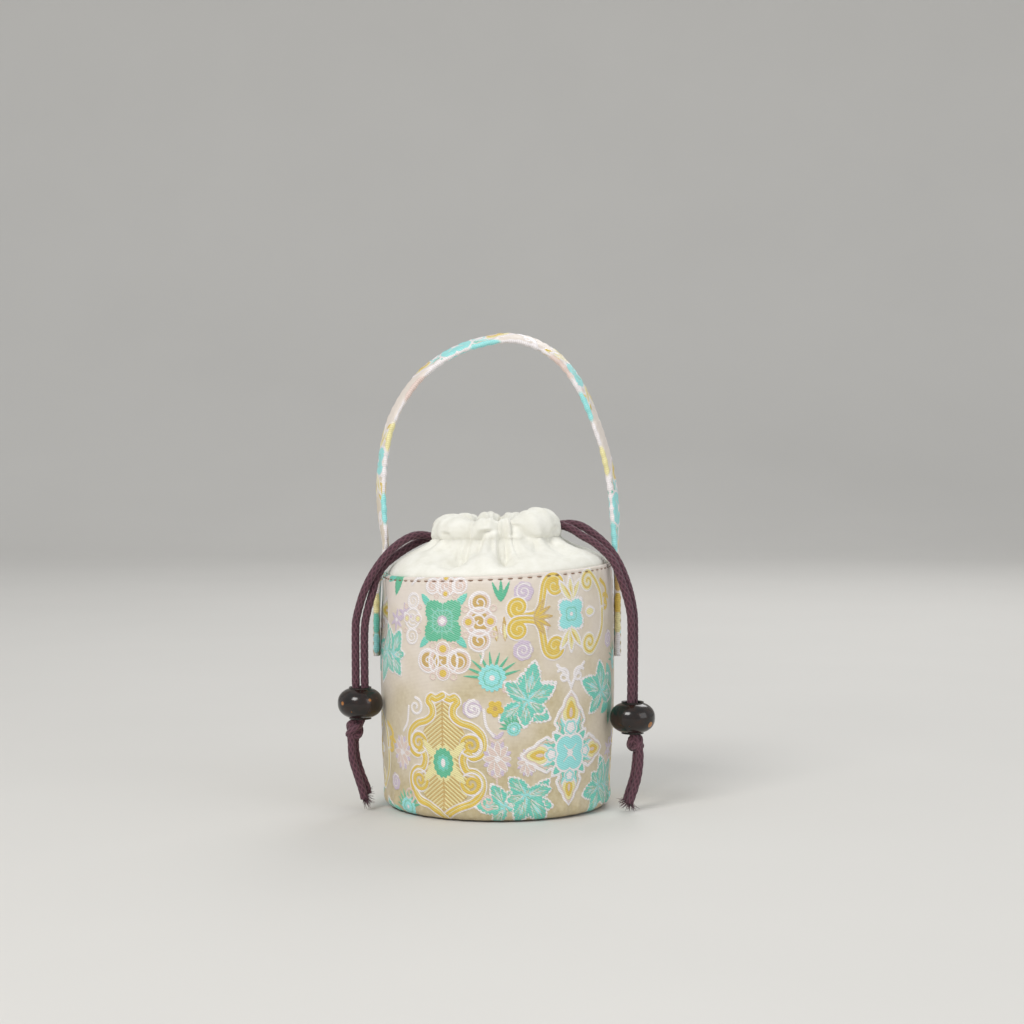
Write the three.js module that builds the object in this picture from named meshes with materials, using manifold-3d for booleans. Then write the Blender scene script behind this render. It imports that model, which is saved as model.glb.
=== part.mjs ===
// Kinchaku drawstring pouch: a stiffened brocade cup, a gathered cotton mouth on two drawstrings, and a
// brocade handle. Millimetres, +Z up, origin at the middle of the base, front towards -Y.
import * as THREE from 'three';
import { mergeVertices } from 'three/addons/utils/BufferGeometryUtils.js';
import Module from 'manifold-3d';

const wasm = await Module();
wasm.setup();

// Sizes that can be set one by one
const BODY_RADIUS = 52.6; // widest outer radius of the brocade wall
const RIM_HEIGHT = 107.1; // height of the folded rim, in the middle of its tilt
const SEAM_ANGLE = 82; // side seams, in degrees from the front
const PANEL_T = 0.8; // brocade with its backing
const HEM_T = 0.7; // what the folded hem adds inside the rim
const HEM_DEPTH = 9;
const STIFFENER_T = 1.2;
const COTTON_T = 0.8;
const LINING_T = 0.6;
const BOARD_T = 2;
const GAP = 0.3; // between pieces that touch
const EASE = 0.2; // more of it, where the facets of two round walls don't line up
const RIM_TILT = 2.7; // how far the rim rises to the right and drops to the left
const CORD_D = 3.6;
const NECK_RADIUS = 22; // of the ring that the drawstrings lie on
const CASING_RISE = 16.3; // middle of the casing above the rim
const LOBE_OUT = 5.7; // how far the widest puff stands out past a fold
const LOBE_IN = 4.6;
const LOBE_UP = 2.9;
const FOLD_DROP = 2.6; // how deep the folds bite into the shoulder
const STRAP_WIDTH = 9;
const STRAP_T = 2.8;
const STRAP_FOOT = 37; // length sewn down the outside of the wall
const STRAP_TWIST = 20; // degrees that the free strap turns towards the front
const HANDLE_RISE = 102.9; // top of the handle's centreline above the rim
const BEAD_RADIUS = 10;
const BEAD_HEIGHT = 14.2;

const BROCADE = 0xbeaf8c;
const COTTON = 0xf6f5ea;
const INTERLINING = 0xd8d4c8;
const BOARD = 0x8f7a5c;
const CORD_COLOUR = 0x55323c;
const BEAD_COLOUR = 0x231914;

// Sizes that follow from them
const CORD_R = CORD_D / 2;
const CASING_MID = RIM_HEIGHT + CASING_RISE;
const STIFFENER_OUT = PANEL_T + GAP + EASE;
const STIFFENER_IN = STIFFENER_OUT + STIFFENER_T;
const COTTON_OUT = PANEL_T + HEM_T + GAP + EASE;
const COTTON_IN = COTTON_OUT + COTTON_T;
const LINING_OUT = Math.max(COTTON_IN, STIFFENER_IN) + GAP + EASE;
const LINING_IN = LINING_OUT + LINING_T;
const BOARD_BOTTOM = PANEL_T + GAP;
const FLOOR_BOTTOM = BOARD_BOTTOM + BOARD_T + GAP;
const FLOOR_TOP = FLOOR_BOTTOM + LINING_T;
const BASE_RADIUS = BODY_RADIUS - 6;
const COTTON_FOOT = RIM_HEIGHT - HEM_DEPTH - 2;
const CORD_LEVEL = (CORD_D + GAP + 0.05) / 2; // the two drawstrings lie one above the other
const CHANNEL_HALF_WIDTH = CORD_R + 0.55;
const CHANNEL_HALF_HEIGHT = CORD_LEVEL + CORD_R + GAP;
const CASING_WALL = 1.15;
const SLIT_HALF_WIDTH = CORD_D + 2.6;
const BEAD_BORE = CORD_D + GAP + 0.3; // bore radius, for two strands side by side

const rad = THREE.MathUtils.degToRad;
const smooth = THREE.MathUtils.smoothstep;
const V = (x, y, z) => new THREE.Vector3(x, y, z);

// Shape of the soft body

// Outer radius of the brocade wall at a height, as a smooth curve through its few real changes
const wallCurve = new THREE.SplineCurve([
  [BASE_RADIUS + GAP, 0.3], [BODY_RADIUS - 3.4, 1.6], [BODY_RADIUS - 2.2, 5], [BODY_RADIUS - 1.6, 14],
  [BODY_RADIUS - 0.4, 0.4 * RIM_HEIGHT], [BODY_RADIUS, 0.74 * RIM_HEIGHT],
  [BODY_RADIUS - 0.7, 0.93 * RIM_HEIGHT], [BODY_RADIUS - 1.2, RIM_HEIGHT],
].map(([r, z]) => new THREE.Vector2(r, z)));
const wallSamples = wallCurve.getPoints(240);

function wallRadius(z) {
  const i = wallSamples.findIndex((p) => p.y >= z);
  if (i < 0) return wallSamples.at(-1).x;
  if (i === 0) return wallSamples[0].x;
  const [a, b] = [wallSamples[i - 1], wallSamples[i]];
  return a.x + (b.x - a.x) * (z - a.y) / (b.y - a.y);
}

// The rim tilts, and the gathered neck tilts half as much
function lean(x, z) {
  const share = smooth(z, 12, RIM_HEIGHT) * (1 - 0.5 * smooth(z, RIM_HEIGHT, CASING_MID - 5));
  return RIM_TILT * x / BODY_RADIUS * share;
}

// Point at radius r, angle in degrees from the front (right is positive) and height z, as the cloth settles
function settle(r, angle, z) {
  const x = r * Math.sin(rad(angle));
  return V(x, -r * Math.cos(rad(angle)), z + lean(x, z));
}

// Moves each corner of a geometry built round the axis as the cloth settles
function settled(geometry) {
  const p = geometry.attributes.position;
  for (let i = 0; i < p.count; i += 1) {
    const [x, y, z] = [p.getX(i), p.getY(i), p.getZ(i)];
    const at = settle(Math.hypot(x, y), THREE.MathUtils.radToDeg(Math.atan2(x, -y)), z);
    p.setXYZ(i, at.x, at.y, at.z);
  }
  return geometry;
}

// Builders for closed solids

// Turns a geometry's faces outwards if its volume comes out negative
function facedOut(geometry) {
  const g = geometry.index ? geometry.toNonIndexed() : geometry;
  const p = g.attributes.position;
  let volume = 0;
  const [a, b, c] = [V(), V(), V()];
  for (let i = 0; i < p.count; i += 3) {
    a.fromBufferAttribute(p, i);
    b.fromBufferAttribute(p, i + 1);
    c.fromBufferAttribute(p, i + 2);
    volume += a.dot(b.clone().cross(c));
  }
  if (volume < 0) {
    for (let i = 0; i < p.count; i += 3) {
      b.fromBufferAttribute(p, i + 1);
      c.fromBufferAttribute(p, i + 2);
      p.setXYZ(i + 1, c.x, c.y, c.z);
      p.setXYZ(i + 2, b.x, b.y, b.z);
    }
  }
  g.computeVertexNormals();
  return g;
}

// Skins a row of closed sections. loops holds each section's [a, b] pairs, and place(i, a, b) puts one in
// space. The row closes on itself, or gets a flat cap at each end.
function skin(loops, place, closesOnItself) {
  const rows = loops.map((loop, i) => loop.map(([a, b]) => place(i, a, b)));
  const n = rows[0].length;
  const corners = [];
  const last = closesOnItself ? rows.length : rows.length - 1;
  for (let i = 0; i < last; i += 1) {
    const next = rows[(i + 1) % rows.length];
    for (let j = 0; j < n; j += 1) {
      const k = (j + 1) % n;
      corners.push(rows[i][j], next[j], next[k], rows[i][j], next[k], rows[i][k]);
    }
  }
  if (!closesOnItself) {
    const faces = THREE.ShapeUtils.triangulateShape(loops[0].map(([a, b]) => new THREE.Vector2(a, b)), []);
    for (const [a, b, c] of faces) {
      const flip = THREE.ShapeUtils.area(loops[0].map(([u, v]) => ({ x: u, y: v }))) < 0;
      const [s, t] = flip ? [c, b] : [b, c];
      corners.push(rows[0][a], rows[0][s], rows[0][t]);
      corners.push(rows.at(-1)[a], rows.at(-1)[t], rows.at(-1)[s]);
    }
  }
  return facedOut(new THREE.BufferGeometry().setFromPoints(corners));
}

// Revolves a closed [radius, height] outline about the Z axis
function revolve(outline, segments) {
  const points = outline.map(([r, z]) => new THREE.Vector2(r, z));
  if (outline[0][0] > 0) points.push(points[0].clone());
  return facedOut(new THREE.LatheGeometry(points, segments).rotateX(Math.PI / 2));
}

function solidOf(geometry) {
  const g = geometry.clone();
  g.deleteAttribute('normal');
  g.deleteAttribute('uv');
  const merged = mergeVertices(g, 1e-4);
  return new wasm.Manifold(new wasm.Mesh({
    numProp: 3,
    vertProperties: Float32Array.from(merged.attributes.position.array),
    triVerts: Uint32Array.from(merged.index.array),
  }));
}

function geometryOf(solid) {
  const mesh = solid.getMesh();
  const g = new THREE.BufferGeometry();
  g.setAttribute('position', new THREE.BufferAttribute(Float32Array.from(mesh.vertProperties), 3));
  g.setIndex(Array.from(mesh.triVerts));
  g.computeVertexNormals();
  return g;
}

// A round cord through chosen points
function cord(points, steps) {
  const sides = 8;
  const ring = [];
  for (let i = 0; i < sides; i += 1) {
    const turn = 2 * Math.PI * (i + 0.5) / sides;
    ring.push(new THREE.Vector2(CORD_R * Math.cos(turn), CORD_R * Math.sin(turn)));
  }
  const extrudePath = new THREE.CatmullRomCurve3(points, false, 'centripetal');
  return new THREE.ExtrudeGeometry(new THREE.Shape(ring), { steps, extrudePath, bevelEnabled: false });
}

const group = new THREE.Group();

function add(name, geometry, color, roughness) {
  const material = new THREE.MeshStandardMaterial({ color, roughness, metalness: 0 });
  const mesh = new THREE.Mesh(geometry, material);
  mesh.name = name;
  group.add(mesh);
}

// Brocade wall: two panels sewn together at the sides, each with a hem folded in at the rim

// Heights that all round walls have a row of corners at, so that their facets run side by side. The rows of the
// rounded foot stay where they are in a taller or shorter wall.
const FOOT_HEIGHTS = [1.5, 5.4, 14];
const WALL_HEIGHTS = [...FOOT_HEIGHTS, ...[0.27, 0.42, 0.58, 0.74, 0.87].map((share) => share * RIM_HEIGHT)];
const STIFFENER_FOOT = FOOT_HEIGHTS[1];

function heightsBetween(low, high) {
  return [low, ...WALL_HEIGHTS.filter((z) => z > low + 0.5 && z < high - 0.5), high];
}

function panelOutline() {
  const hemFoot = RIM_HEIGHT - HEM_DEPTH;
  const heights = heightsBetween(0.4, RIM_HEIGHT - 1.2);
  const outer = heights.map((z) => [wallRadius(z), z]);
  const top = wallRadius(RIM_HEIGHT);
  const fold = [[top - 0.4 * PANEL_T, RIM_HEIGHT], [top - PANEL_T - 0.6 * HEM_T, RIM_HEIGHT]];
  const hem = [[top - PANEL_T - HEM_T, RIM_HEIGHT - 1.2],
    [wallRadius(hemFoot) - PANEL_T - HEM_T, hemFoot], [wallRadius(hemFoot) - PANEL_T, hemFoot - 0.4]];
  const inner = heights.filter((z) => z >= STIFFENER_FOOT && z < hemFoot - 1).map((z) => [wallRadius(z) - PANEL_T, z]);
  const turn = [[BODY_RADIUS - 4.1, 2.4], [BASE_RADIUS + GAP, 0.3 + PANEL_T]];
  return [...outer, ...fold, ...hem, ...inner.reverse(), ...turn];
}

function panel(from, to, steps) {
  const seam = THREE.MathUtils.radToDeg(GAP / 2 / BODY_RADIUS);
  const outline = panelOutline();
  const angleAt = (i) => from + seam + (to - from - 2 * seam) * i / steps;
  const loops = Array.from({ length: steps + 1 }, () => outline);
  return skin(loops, (i, r, z) => settle(r, angleAt(i), z), false);
}

add('front_panel', panel(-SEAM_ANGLE, SEAM_ANGLE, 22), BROCADE, 0.55);
add('back_panel', panel(SEAM_ANGLE, 360 - SEAM_ANGLE, 26), BROCADE, 0.55);

// Base: brocade disc, board and the stiffener that holds the wall up

add('base_cover', revolve([[0, 0], [BASE_RADIUS - 1, 0], [BASE_RADIUS, 0.5 * PANEL_T],
  [BASE_RADIUS - 0.4, PANEL_T], [0, PANEL_T]], 48), BROCADE, 0.6);
add('base_board', revolve([[0, BOARD_BOTTOM], [BASE_RADIUS - 2.6, BOARD_BOTTOM],
  [BASE_RADIUS - 2.2, BOARD_BOTTOM + 0.5], [BASE_RADIUS - 2.2, BOARD_BOTTOM + BOARD_T],
  [0, BOARD_BOTTOM + BOARD_T]], 48), BOARD, 0.9);

// A shell that lies inside the wall between two depths, from one height to another
function innerShell(outDepth, inDepth, heights) {
  const outer = heights.map((z) => [wallRadius(z) - outDepth, z]);
  const inner = heights.map((z) => [wallRadius(z) - inDepth, z]).reverse();
  return [...outer, ...inner];
}

const stiffener = innerShell(STIFFENER_OUT, STIFFENER_IN, heightsBetween(STIFFENER_FOOT, COTTON_FOOT - 1));
add('wall_stiffener', settled(revolve(stiffener, 42)), INTERLINING, 0.9);

// Lining: one cotton bag with a floor

function liningOutline() {
  const heights = heightsBetween(FLOOR_TOP + 5, RIM_HEIGHT - 2);
  const outer = heights.map((z) => [wallRadius(z) - LINING_OUT, z]);
  const inner = heights.map((z) => [wallRadius(z) - LINING_IN, z]).reverse();
  const corner = wallRadius(FLOOR_TOP + 5) - LINING_OUT;
  const under = [[0, FLOOR_BOTTOM], [corner - 4.2, FLOOR_BOTTOM], [corner - 1.2, FLOOR_BOTTOM + 1.6]];
  const over = [[corner - 1.9, FLOOR_TOP + 1.5], [corner - 4.6, FLOOR_TOP], [0, FLOOR_TOP]];
  return [...under, ...outer, ...inner, ...over];
}

add('lining', settled(revolve(liningOutline(), 42)), COTTON, 0.9);

// Gathered mouth: the cotton shoulder rises from inside the rim in folds that deepen towards the neck, and
// its hemmed casing puffs out between them round the two drawstrings

// Each puff of the casing: the angle where it ends and how big it is. The side folds hold the cord slits.
const PUFFS = [[-90, 0], [-27, 0.95], [2, 0.7], [15, 0.55], [90, 1], [122, 0.8], [147, 0.9], [176, 0.75],
  [204, 0.95], [236, 0.85], [270, 0.9]];
const STEPS_A_PUFF = 6;

function puffAngles() {
  const list = [];
  for (let i = 1; i < PUFFS.length; i += 1) {
    const [from, to] = [PUFFS[i - 1][0], PUFFS[i][0]];
    for (let k = 0; k < STEPS_A_PUFF; k += 1) {
      const t = k / STEPS_A_PUFF;
      list.push({ angle: from + (to - from) * t, swell: PUFFS[i][1] * (1 - Math.abs(2 * t - 1) ** 2.4) });
    }
  }
  return list;
}

// Shoulder of the cotton, from its sewn foot inside the rim to the neck: radius, height and how much of the
// folds' depth it takes
const rimInside = BODY_RADIUS - 1.2 - COTTON_OUT;
const SHOULDER = [
  [wallRadius(COTTON_FOOT) - COTTON_OUT, COTTON_FOOT, 0], [rimInside, RIM_HEIGHT - 1.5, 0],
  [rimInside - 0.5, RIM_HEIGHT + 0.9, 0], [rimInside - 2.6, RIM_HEIGHT + 2.9, 0.1],
  [rimInside - 7.2, RIM_HEIGHT + 5.3, 0.3], [rimInside - 13, RIM_HEIGHT + 7.4, 0.6],
  [NECK_RADIUS + 8.6, RIM_HEIGHT + 9.3, 0.85], [NECK_RADIUS + 5.4, RIM_HEIGHT + 10.6, 1],
];

// The same shoulder one cloth thickness further in
function underside([r, z, share], i) {
  const [before, after] = [SHOULDER[Math.max(i - 1, 0)], SHOULDER[Math.min(i + 1, SHOULDER.length - 1)]];
  const along = new THREE.Vector2(after[0] - before[0], after[1] - before[1]).normalize();
  return [r - COTTON_T * along.y, z + COTTON_T * along.x, share];
}

function mouthSection({ swell }) {
  const fold = FOLD_DROP * (1 - swell);
  const sunk = ([r, z, share]) => [r, z - fold * share];
  const [out, inward] = [CASING_WALL + CHANNEL_HALF_WIDTH + LOBE_OUT * swell,
    CASING_WALL + CHANNEL_HALF_WIDTH + LOBE_IN * swell];
  const up = CASING_WALL + CHANNEL_HALF_HEIGHT - 0.3 + LOBE_UP * swell;
  const down = CASING_WALL + CHANNEL_HALF_HEIGHT - 0.3;
  const casing = [-42, -15, 10, 35, 60, 85, 110, 140, 170, 200, 235].map((turn) => {
    const [c, s] = [Math.cos(rad(turn)), Math.sin(rad(turn))];
    return [NECK_RADIUS + (c > 0 ? out : inward) * c, CASING_MID + (s > 0 ? up : down) * s];
  });
  return [...SHOULDER.map(sunk), ...casing, ...SHOULDER.map(underside).map(sunk).reverse()];
}

function channelOutline() {
  const [w, h] = [CHANNEL_HALF_WIDTH, CHANNEL_HALF_HEIGHT];
  const corners = [[w, h - 1.1], [w - 0.9, h], [0.9 - w, h], [-w, h - 1.1],
    [-w, 1.1 - h], [0.9 - w, -h], [w - 0.9, -h], [w, 1.1 - h]];
  return corners.map(([r, z]) => [NECK_RADIUS + r, CASING_MID + z]);
}

// The slit in a side fold that the two strands leave through
function slit(side) {
  const depth = LOBE_OUT + 8;
  const box = new THREE.BoxGeometry(depth, 2 * SLIT_HALF_WIDTH, 2 * CHANNEL_HALF_HEIGHT);
  return box.translate(side * (NECK_RADIUS + 0.6 + depth / 2), 0, CASING_MID);
}

function gatheredTop() {
  const rows = puffAngles();
  const cloth = skin(rows.map(mouthSection), (i, r, z) => settle(r, rows[i].angle, z), true);
  const channel = solidOf(settled(revolve(channelOutline(), 60)));
  const slits = [-1, 1].map((side) => solidOf(settled(slit(side))));
  return geometryOf(solidOf(cloth).subtract(channel).subtract(slits[0]).subtract(slits[1]));
}

add('gathered_top', gatheredTop(), COTTON, 0.85);

// Drawstrings: each lies once round the casing, one above the other, and both its ends leave on one side

const TURN_RADIUS = 2 * CORD_D; // of the bend from the ring out to the exit
const EXIT_HALF = CORD_R + 0.35; // half the spacing of the two ends there
const RING_STEPS = 40;
const EXIT_X = Math.sqrt((NECK_RADIUS + TURN_RADIUS) ** 2 - (EXIT_HALF + TURN_RADIUS) ** 2);

// side -1 leaves on the left and 1 on the right
function casingRun(side, level) {
  const z = CASING_MID + level;
  const half = [0, 20, 40, 58].map((turn) => [EXIT_X - TURN_RADIUS * Math.sin(rad(turn)),
    EXIT_HALF + TURN_RADIUS * (1 - Math.cos(rad(turn)))]);
  const points = half.map(([x, y]) => V(side * x, -y, z));
  for (let turn = 20; turn <= 340; turn += 20) {
    points.push(V(side * NECK_RADIUS * Math.cos(rad(turn)), -NECK_RADIUS * Math.sin(rad(turn)), z));
  }
  for (const [x, y] of half.reverse()) {
    points.push(V(side * x, y, z));
  }
  return cord(points.map((p) => V(p.x, p.y, p.z + lean(p.x, p.z))), RING_STEPS);
}

add('drawstring_left', casingRun(-1, -CORD_LEVEL), CORD_COLOUR, 0.7);
add('drawstring_right', casingRun(1, CORD_LEVEL), CORD_COLOUR, 0.7);

// Free strands, over the shoulder and the rim, in front of the strap and down through the beads

const BEADS = {
  left: { x: 1.9 - BODY_RADIUS - BEAD_RADIUS, y: -18, z: 47.8, strands: [[-1.98, 0], [1.98, 0]] },
  right: { x: BODY_RADIUS + BEAD_RADIUS - 2.3, y: -19, z: 41.4, strands: [[0.75, 1.85], [-0.75, -1.85]] },
};

const STRANDS = {
  left_outer: { bead: 'left', strand: 0, side: -1, end: -1, over: [[-33.6, -3.4, 121.7],
    [-37.6, -5.7, 121.4], [-42, -8.6, 119.4], [-47, -12, 115.6], [-51.4, -14.9, 110.6], [-55.4, -16.8, 104.6],
    [-58.8, -17.7, 97.5], [-61.2, -18, 90], [-62.5, -18, 84]] },
  left_inner: { bead: 'left', strand: 1, side: -1, end: 1, over: [[-33, 1.5, 119.4],
    [-37, -1, 117.6], [-41.5, -4.4, 115.1], [-45.8, -8, 112.2], [-50.3, -11.4, 108.4],
    [-53.7, -14, 102.8], [-55.3, -15.4, 96.6], [-57, -17.1, 90.4], [-58.3, -17.9, 84.2]] },
  right_back: { bead: 'right', strand: 0, side: 1, end: 1, over: [[33.2, 1.6, 126.5],
    [38, -0.6, 125.6], [43, -3.6, 122.6], [47.6, -7, 118.8], [51.6, -10.2, 114.2], [54.9, -13, 108.6],
    [57.4, -15.2, 102.4], [59.4, -16.6, 95.5], [60.8, -17.1, 87.5]] },
  right_front: { bead: 'right', strand: 1, side: 1, end: -1, over: [[33.4, -3.4, 124.4],
    [38, -6, 121.6], [43, -9.4, 118.9], [47.4, -12.6, 115.4], [51.6, -15.8, 110.9], [54.2, -17.9, 105.2],
    [56.3, -19.5, 99.2], [58.1, -20.5, 93], [59.3, -20.85, 87]] },
};
const STRAIGHT_TOP = { left: 79, right: 81 }; // the strands hang straight and side by side below this
const STRAND_STEPS = 20;

// Where a strand leaves the casing, and a point straight on from there
function leaving(side, end) {
  const z = CASING_MID + side * CORD_LEVEL + lean(side * EXIT_X, CASING_MID);
  return [GAP, GAP + CORD_R].map((out) => [side * (EXIT_X + out), end * EXIT_HALF, z]);
}

for (const [name, { bead, strand, side, end, over }] of Object.entries(STRANDS)) {
  const { x, y, z, strands } = BEADS[bead];
  const [dx, dy] = strands[strand];
  const top = STRAIGHT_TOP[bead];
  const foot = z - BEAD_HEIGHT / 2 + GAP;
  const straight = [top, (top + foot) / 2, foot].map((h) => [x + dx, y + dy, h]);
  const points = [...leaving(side, end), ...over, ...straight].map((p) => V(...p));
  add(`cord_${name}`, cord(points, STRAND_STEPS), CORD_COLOUR, 0.7);
}

// Beads: turned from wood, with a bore that both strands pass through

function bead({ x, y, z }) {
  const half = BEAD_HEIGHT / 2;
  const upper = [[BEAD_BORE, half - 1], [BEAD_BORE + 0.7, half], [0.66 * BEAD_RADIUS, 0.95 * half]];
  for (const turn of [45, 25, 8]) {
    upper.push([BEAD_RADIUS * Math.cos(rad(turn)) ** 0.65, half * Math.sin(rad(turn)) ** 0.65]);
  }
  const lower = upper.map(([r, h]) => [r, -h]).reverse();
  return revolve([...upper, ...lower], 22).translate(x, y, z);
}

add('bead_left', bead(BEADS.left), BEAD_COLOUR, 0.25);
add('bead_right', bead(BEADS.right), BEAD_COLOUR, 0.25);

// Knots under the beads, where the two strands are tied together, and the tails below them

const KNOTS = {
  left: {
    at: [BEADS.left.x - 2.9, BEADS.left.y - 0.2], tilt: 12,
    wraps: [[0.8, 0, -2.6, 2.6], [-0.4, 0.2, -5.1, 2.6], [-0.3, 0, -7.5, 2.3]],
  },
  right: {
    at: [BEADS.right.x + 0.6, BEADS.right.y - 0.2], tilt: -14,
    wraps: [[-0.6, 0, -2.6, 2.6], [1, 0, -4.9, 2.5], [1.5, 0, -6.6, 1.9]],
  },
};
const WRAP_R = 1.7;

function knot({ at, wraps, tilt }, top) {
  let whole = null;
  wraps.forEach(([dx, dy, dz, radius], i) => {
    const turn = new THREE.TorusGeometry(radius, WRAP_R, 6, 11);
    turn.rotateY(rad(i % 2 ? -tilt : tilt)).translate(at[0] + dx, at[1] + dy, top + dz);
    const core = new THREE.CylinderGeometry(radius, radius, 2.6, 8).rotateX(Math.PI / 2);
    core.translate(at[0] + dx, at[1] + dy, top + dz);
    const wrap = solidOf(turn).add(solidOf(core));
    whole = whole ? whole.add(wrap) : wrap;
  });
  return geometryOf(whole);
}

const knotTop = (side) => BEADS[side].z - BEAD_HEIGHT / 2;
add('knot_left', knot(KNOTS.left, knotTop('left')), CORD_COLOUR, 0.75);
add('knot_right', knot(KNOTS.right, knotTop('right')), CORD_COLOUR, 0.75);

const TAILS = {
  left_front: [[-64.4, -20.3, 30.3], [-63.9, -20.8, 23], [-61.8, -21.1, 16], [-59.6, -20.8, 9],
    [-58.8, -20.4, 5]],
  left_back: [[-63.2, -16.2, 30.3], [-62.5, -16.6, 23], [-60.4, -17, 16], [-58.1, -16.9, 10],
    [-57.5, -16.6, 6.4]],
  right_front: [[63.4, -21.3, 24.8], [62.6, -21.9, 16], [61, -22.4, 10], [59.4, -22.7, 5.4],
    [58.7, -22.9, 2.4]],
  right_back: [[62.2, -17.1, 24.8], [61.2, -17.7, 16], [59.6, -18.3, 10.6], [58.2, -18.6, 6],
    [57.7, -18.7, 3.6]],
};
for (const [name, points] of Object.entries(TAILS)) {
  add(`tail_${name}`, cord(points.map((p) => V(...p)), 5), CORD_COLOUR, 0.75);
}

// Handle: a flat brocade strap whose ends are sewn down the outside of the wall over the side seams

// Free part of the handle, from its left end to its right: how far out and how high above the rim, drawn for
// this half width between the feet and this rise
const ARCH_HALF = 54.3;
const ARCH_RISE = 102.9;
const ARCH = [[-51.6, 21.9], [-52.2, 34.9], [-51.3, 47.9], [-48.6, 61.9], [-42.8, 74.9], [-32.4, 87.9],
  [-18.9, 96.9], [-7.7, 100.9], [5.4, 102.9], [17, 100.4], [28.4, 92.9], [37.4, 80.9], [44, 65.9],
  [49, 50.4], [52, 34.9], [53.1, 20.9]];

function strap() {
  const foot = RIM_HEIGHT - STRAP_FOOT - 3;
  const out = BODY_RADIUS + GAP + STRAP_T / 2;
  const [wide, high] = [out / ARCH_HALF, HANDLE_RISE / ARCH_RISE];
  const line = [[-out, foot], [-out, foot + 12], [-out + 0.1, foot + 26], [-out + 0.9, foot + 36],
    [-out + 2.9, RIM_HEIGHT + 2.4], [-out + 4.1, RIM_HEIGHT + 7.9], [-out + 3.7, RIM_HEIGHT + 13.9],
    ...ARCH.map(([x, z]) => [x * wide, RIM_HEIGHT + z * high]), [out - 1.1, RIM_HEIGHT + 10.9],
    [out - 0.5, RIM_HEIGHT + 2.9], [out, foot + 36], [out, foot + 24], [out, foot + 12], [out, foot]];
  const curve = new THREE.CatmullRomCurve3(line.map(([x, z]) => V(x, 0, z)), false, 'centripetal');
  const steps = 50;
  const stations = Array.from({ length: steps + 1 }, (_, i) => {
    const at = curve.getPointAt(i / steps);
    const along = curve.getTangentAt(i / steps);
    const normal = V(-along.z, 0, along.x);
    const free = smooth(at.z, RIM_HEIGHT + 2, RIM_HEIGHT + 26);
    const turn = rad(STRAP_TWIST) * free;
    const across = V(0, 1, 0).multiplyScalar(Math.cos(turn)).addScaledVector(normal, Math.sin(turn));
    return { at, across, thick: across.clone().cross(along) };
  });
  const [w, t, round] = [STRAP_WIDTH / 2, STRAP_T / 2, 0.8];
  const section = [[w, t - round], [w - round, t], [round - w, t], [-w, t - round],
    [-w, round - t], [round - w, -t], [w - round, -t], [w, round - t]];
  return skin(stations.map(() => section), (i, a, b) => {
    const { at, across, thick } = stations[i];
    return at.clone().addScaledVector(across, a).addScaledVector(thick, b);
  }, false);
}

add('handle_strap', strap(), BROCADE, 0.55);

export default group;
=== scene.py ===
"""Looks of a kinchaku drawstring pouch: brocade cup, gathered cotton mouth, braided drawstrings and handle."""

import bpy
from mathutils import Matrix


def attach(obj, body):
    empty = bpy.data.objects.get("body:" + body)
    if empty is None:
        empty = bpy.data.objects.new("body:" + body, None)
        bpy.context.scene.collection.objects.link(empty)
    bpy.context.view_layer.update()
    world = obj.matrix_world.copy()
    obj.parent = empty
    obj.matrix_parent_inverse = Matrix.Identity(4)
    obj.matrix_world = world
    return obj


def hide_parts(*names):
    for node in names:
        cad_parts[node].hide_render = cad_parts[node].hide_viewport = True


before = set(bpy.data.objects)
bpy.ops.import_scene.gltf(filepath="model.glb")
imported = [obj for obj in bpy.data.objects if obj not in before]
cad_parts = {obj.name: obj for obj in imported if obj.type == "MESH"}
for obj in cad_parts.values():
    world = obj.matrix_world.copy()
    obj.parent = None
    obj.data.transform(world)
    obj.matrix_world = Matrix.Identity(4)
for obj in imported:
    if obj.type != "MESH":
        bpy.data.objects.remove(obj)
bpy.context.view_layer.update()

import copy
import logging
import math
from dataclasses import dataclass, field
from enum import Enum
from typing import Callable, Sequence

import bpy
import numpy as np

logging.basicConfig(level=logging.INFO, format="%(message)s")
log = logging.getLogger("pouch")

MM = 0.001
TAU = 2 * math.pi
Colour = tuple[float, float, float]
Place = tuple[float, float, float]
Point = tuple[float, float]
Array = np.ndarray
Material = bpy.types.Material
Piece = bpy.types.Object
Shape = tuple[Callable[[Array, Array], Array], Sequence[float]]


def tint(red: int, green: int, blue: int) -> Colour:
    """Linear colour of a display colour from 0 to 255."""

    def channel(value: int) -> float:
        share = value / 255
        return share / 12.92 if share <= 0.04045 else ((share + 0.055) / 1.055) ** 2.4

    return channel(red), channel(green), channel(blue)


def smooth(value: Array | float, low: float, high: float) -> Array:
    """Smooth step from 0 at low to 1 at high."""
    t = np.clip((np.asarray(value, float) - low) / (high - low), 0, 1)
    return t * t * (3 - 2 * t)


def bell(value: Array, middle: float, width: float) -> Array:
    """Bell of height 1 round a middle."""
    return np.exp(-(((value - middle) / width) ** 2))


def unit(vectors: Array) -> Array:
    """Rows of vectors, each made one long."""
    return vectors / np.linalg.norm(vectors, axis=1)[:, None]


def run_of(line: Array) -> Array:
    """Length along a row of points up to each of them."""
    return np.concatenate([[0], np.cumsum(np.linalg.norm(np.diff(line, axis=0), axis=1))])


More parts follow.
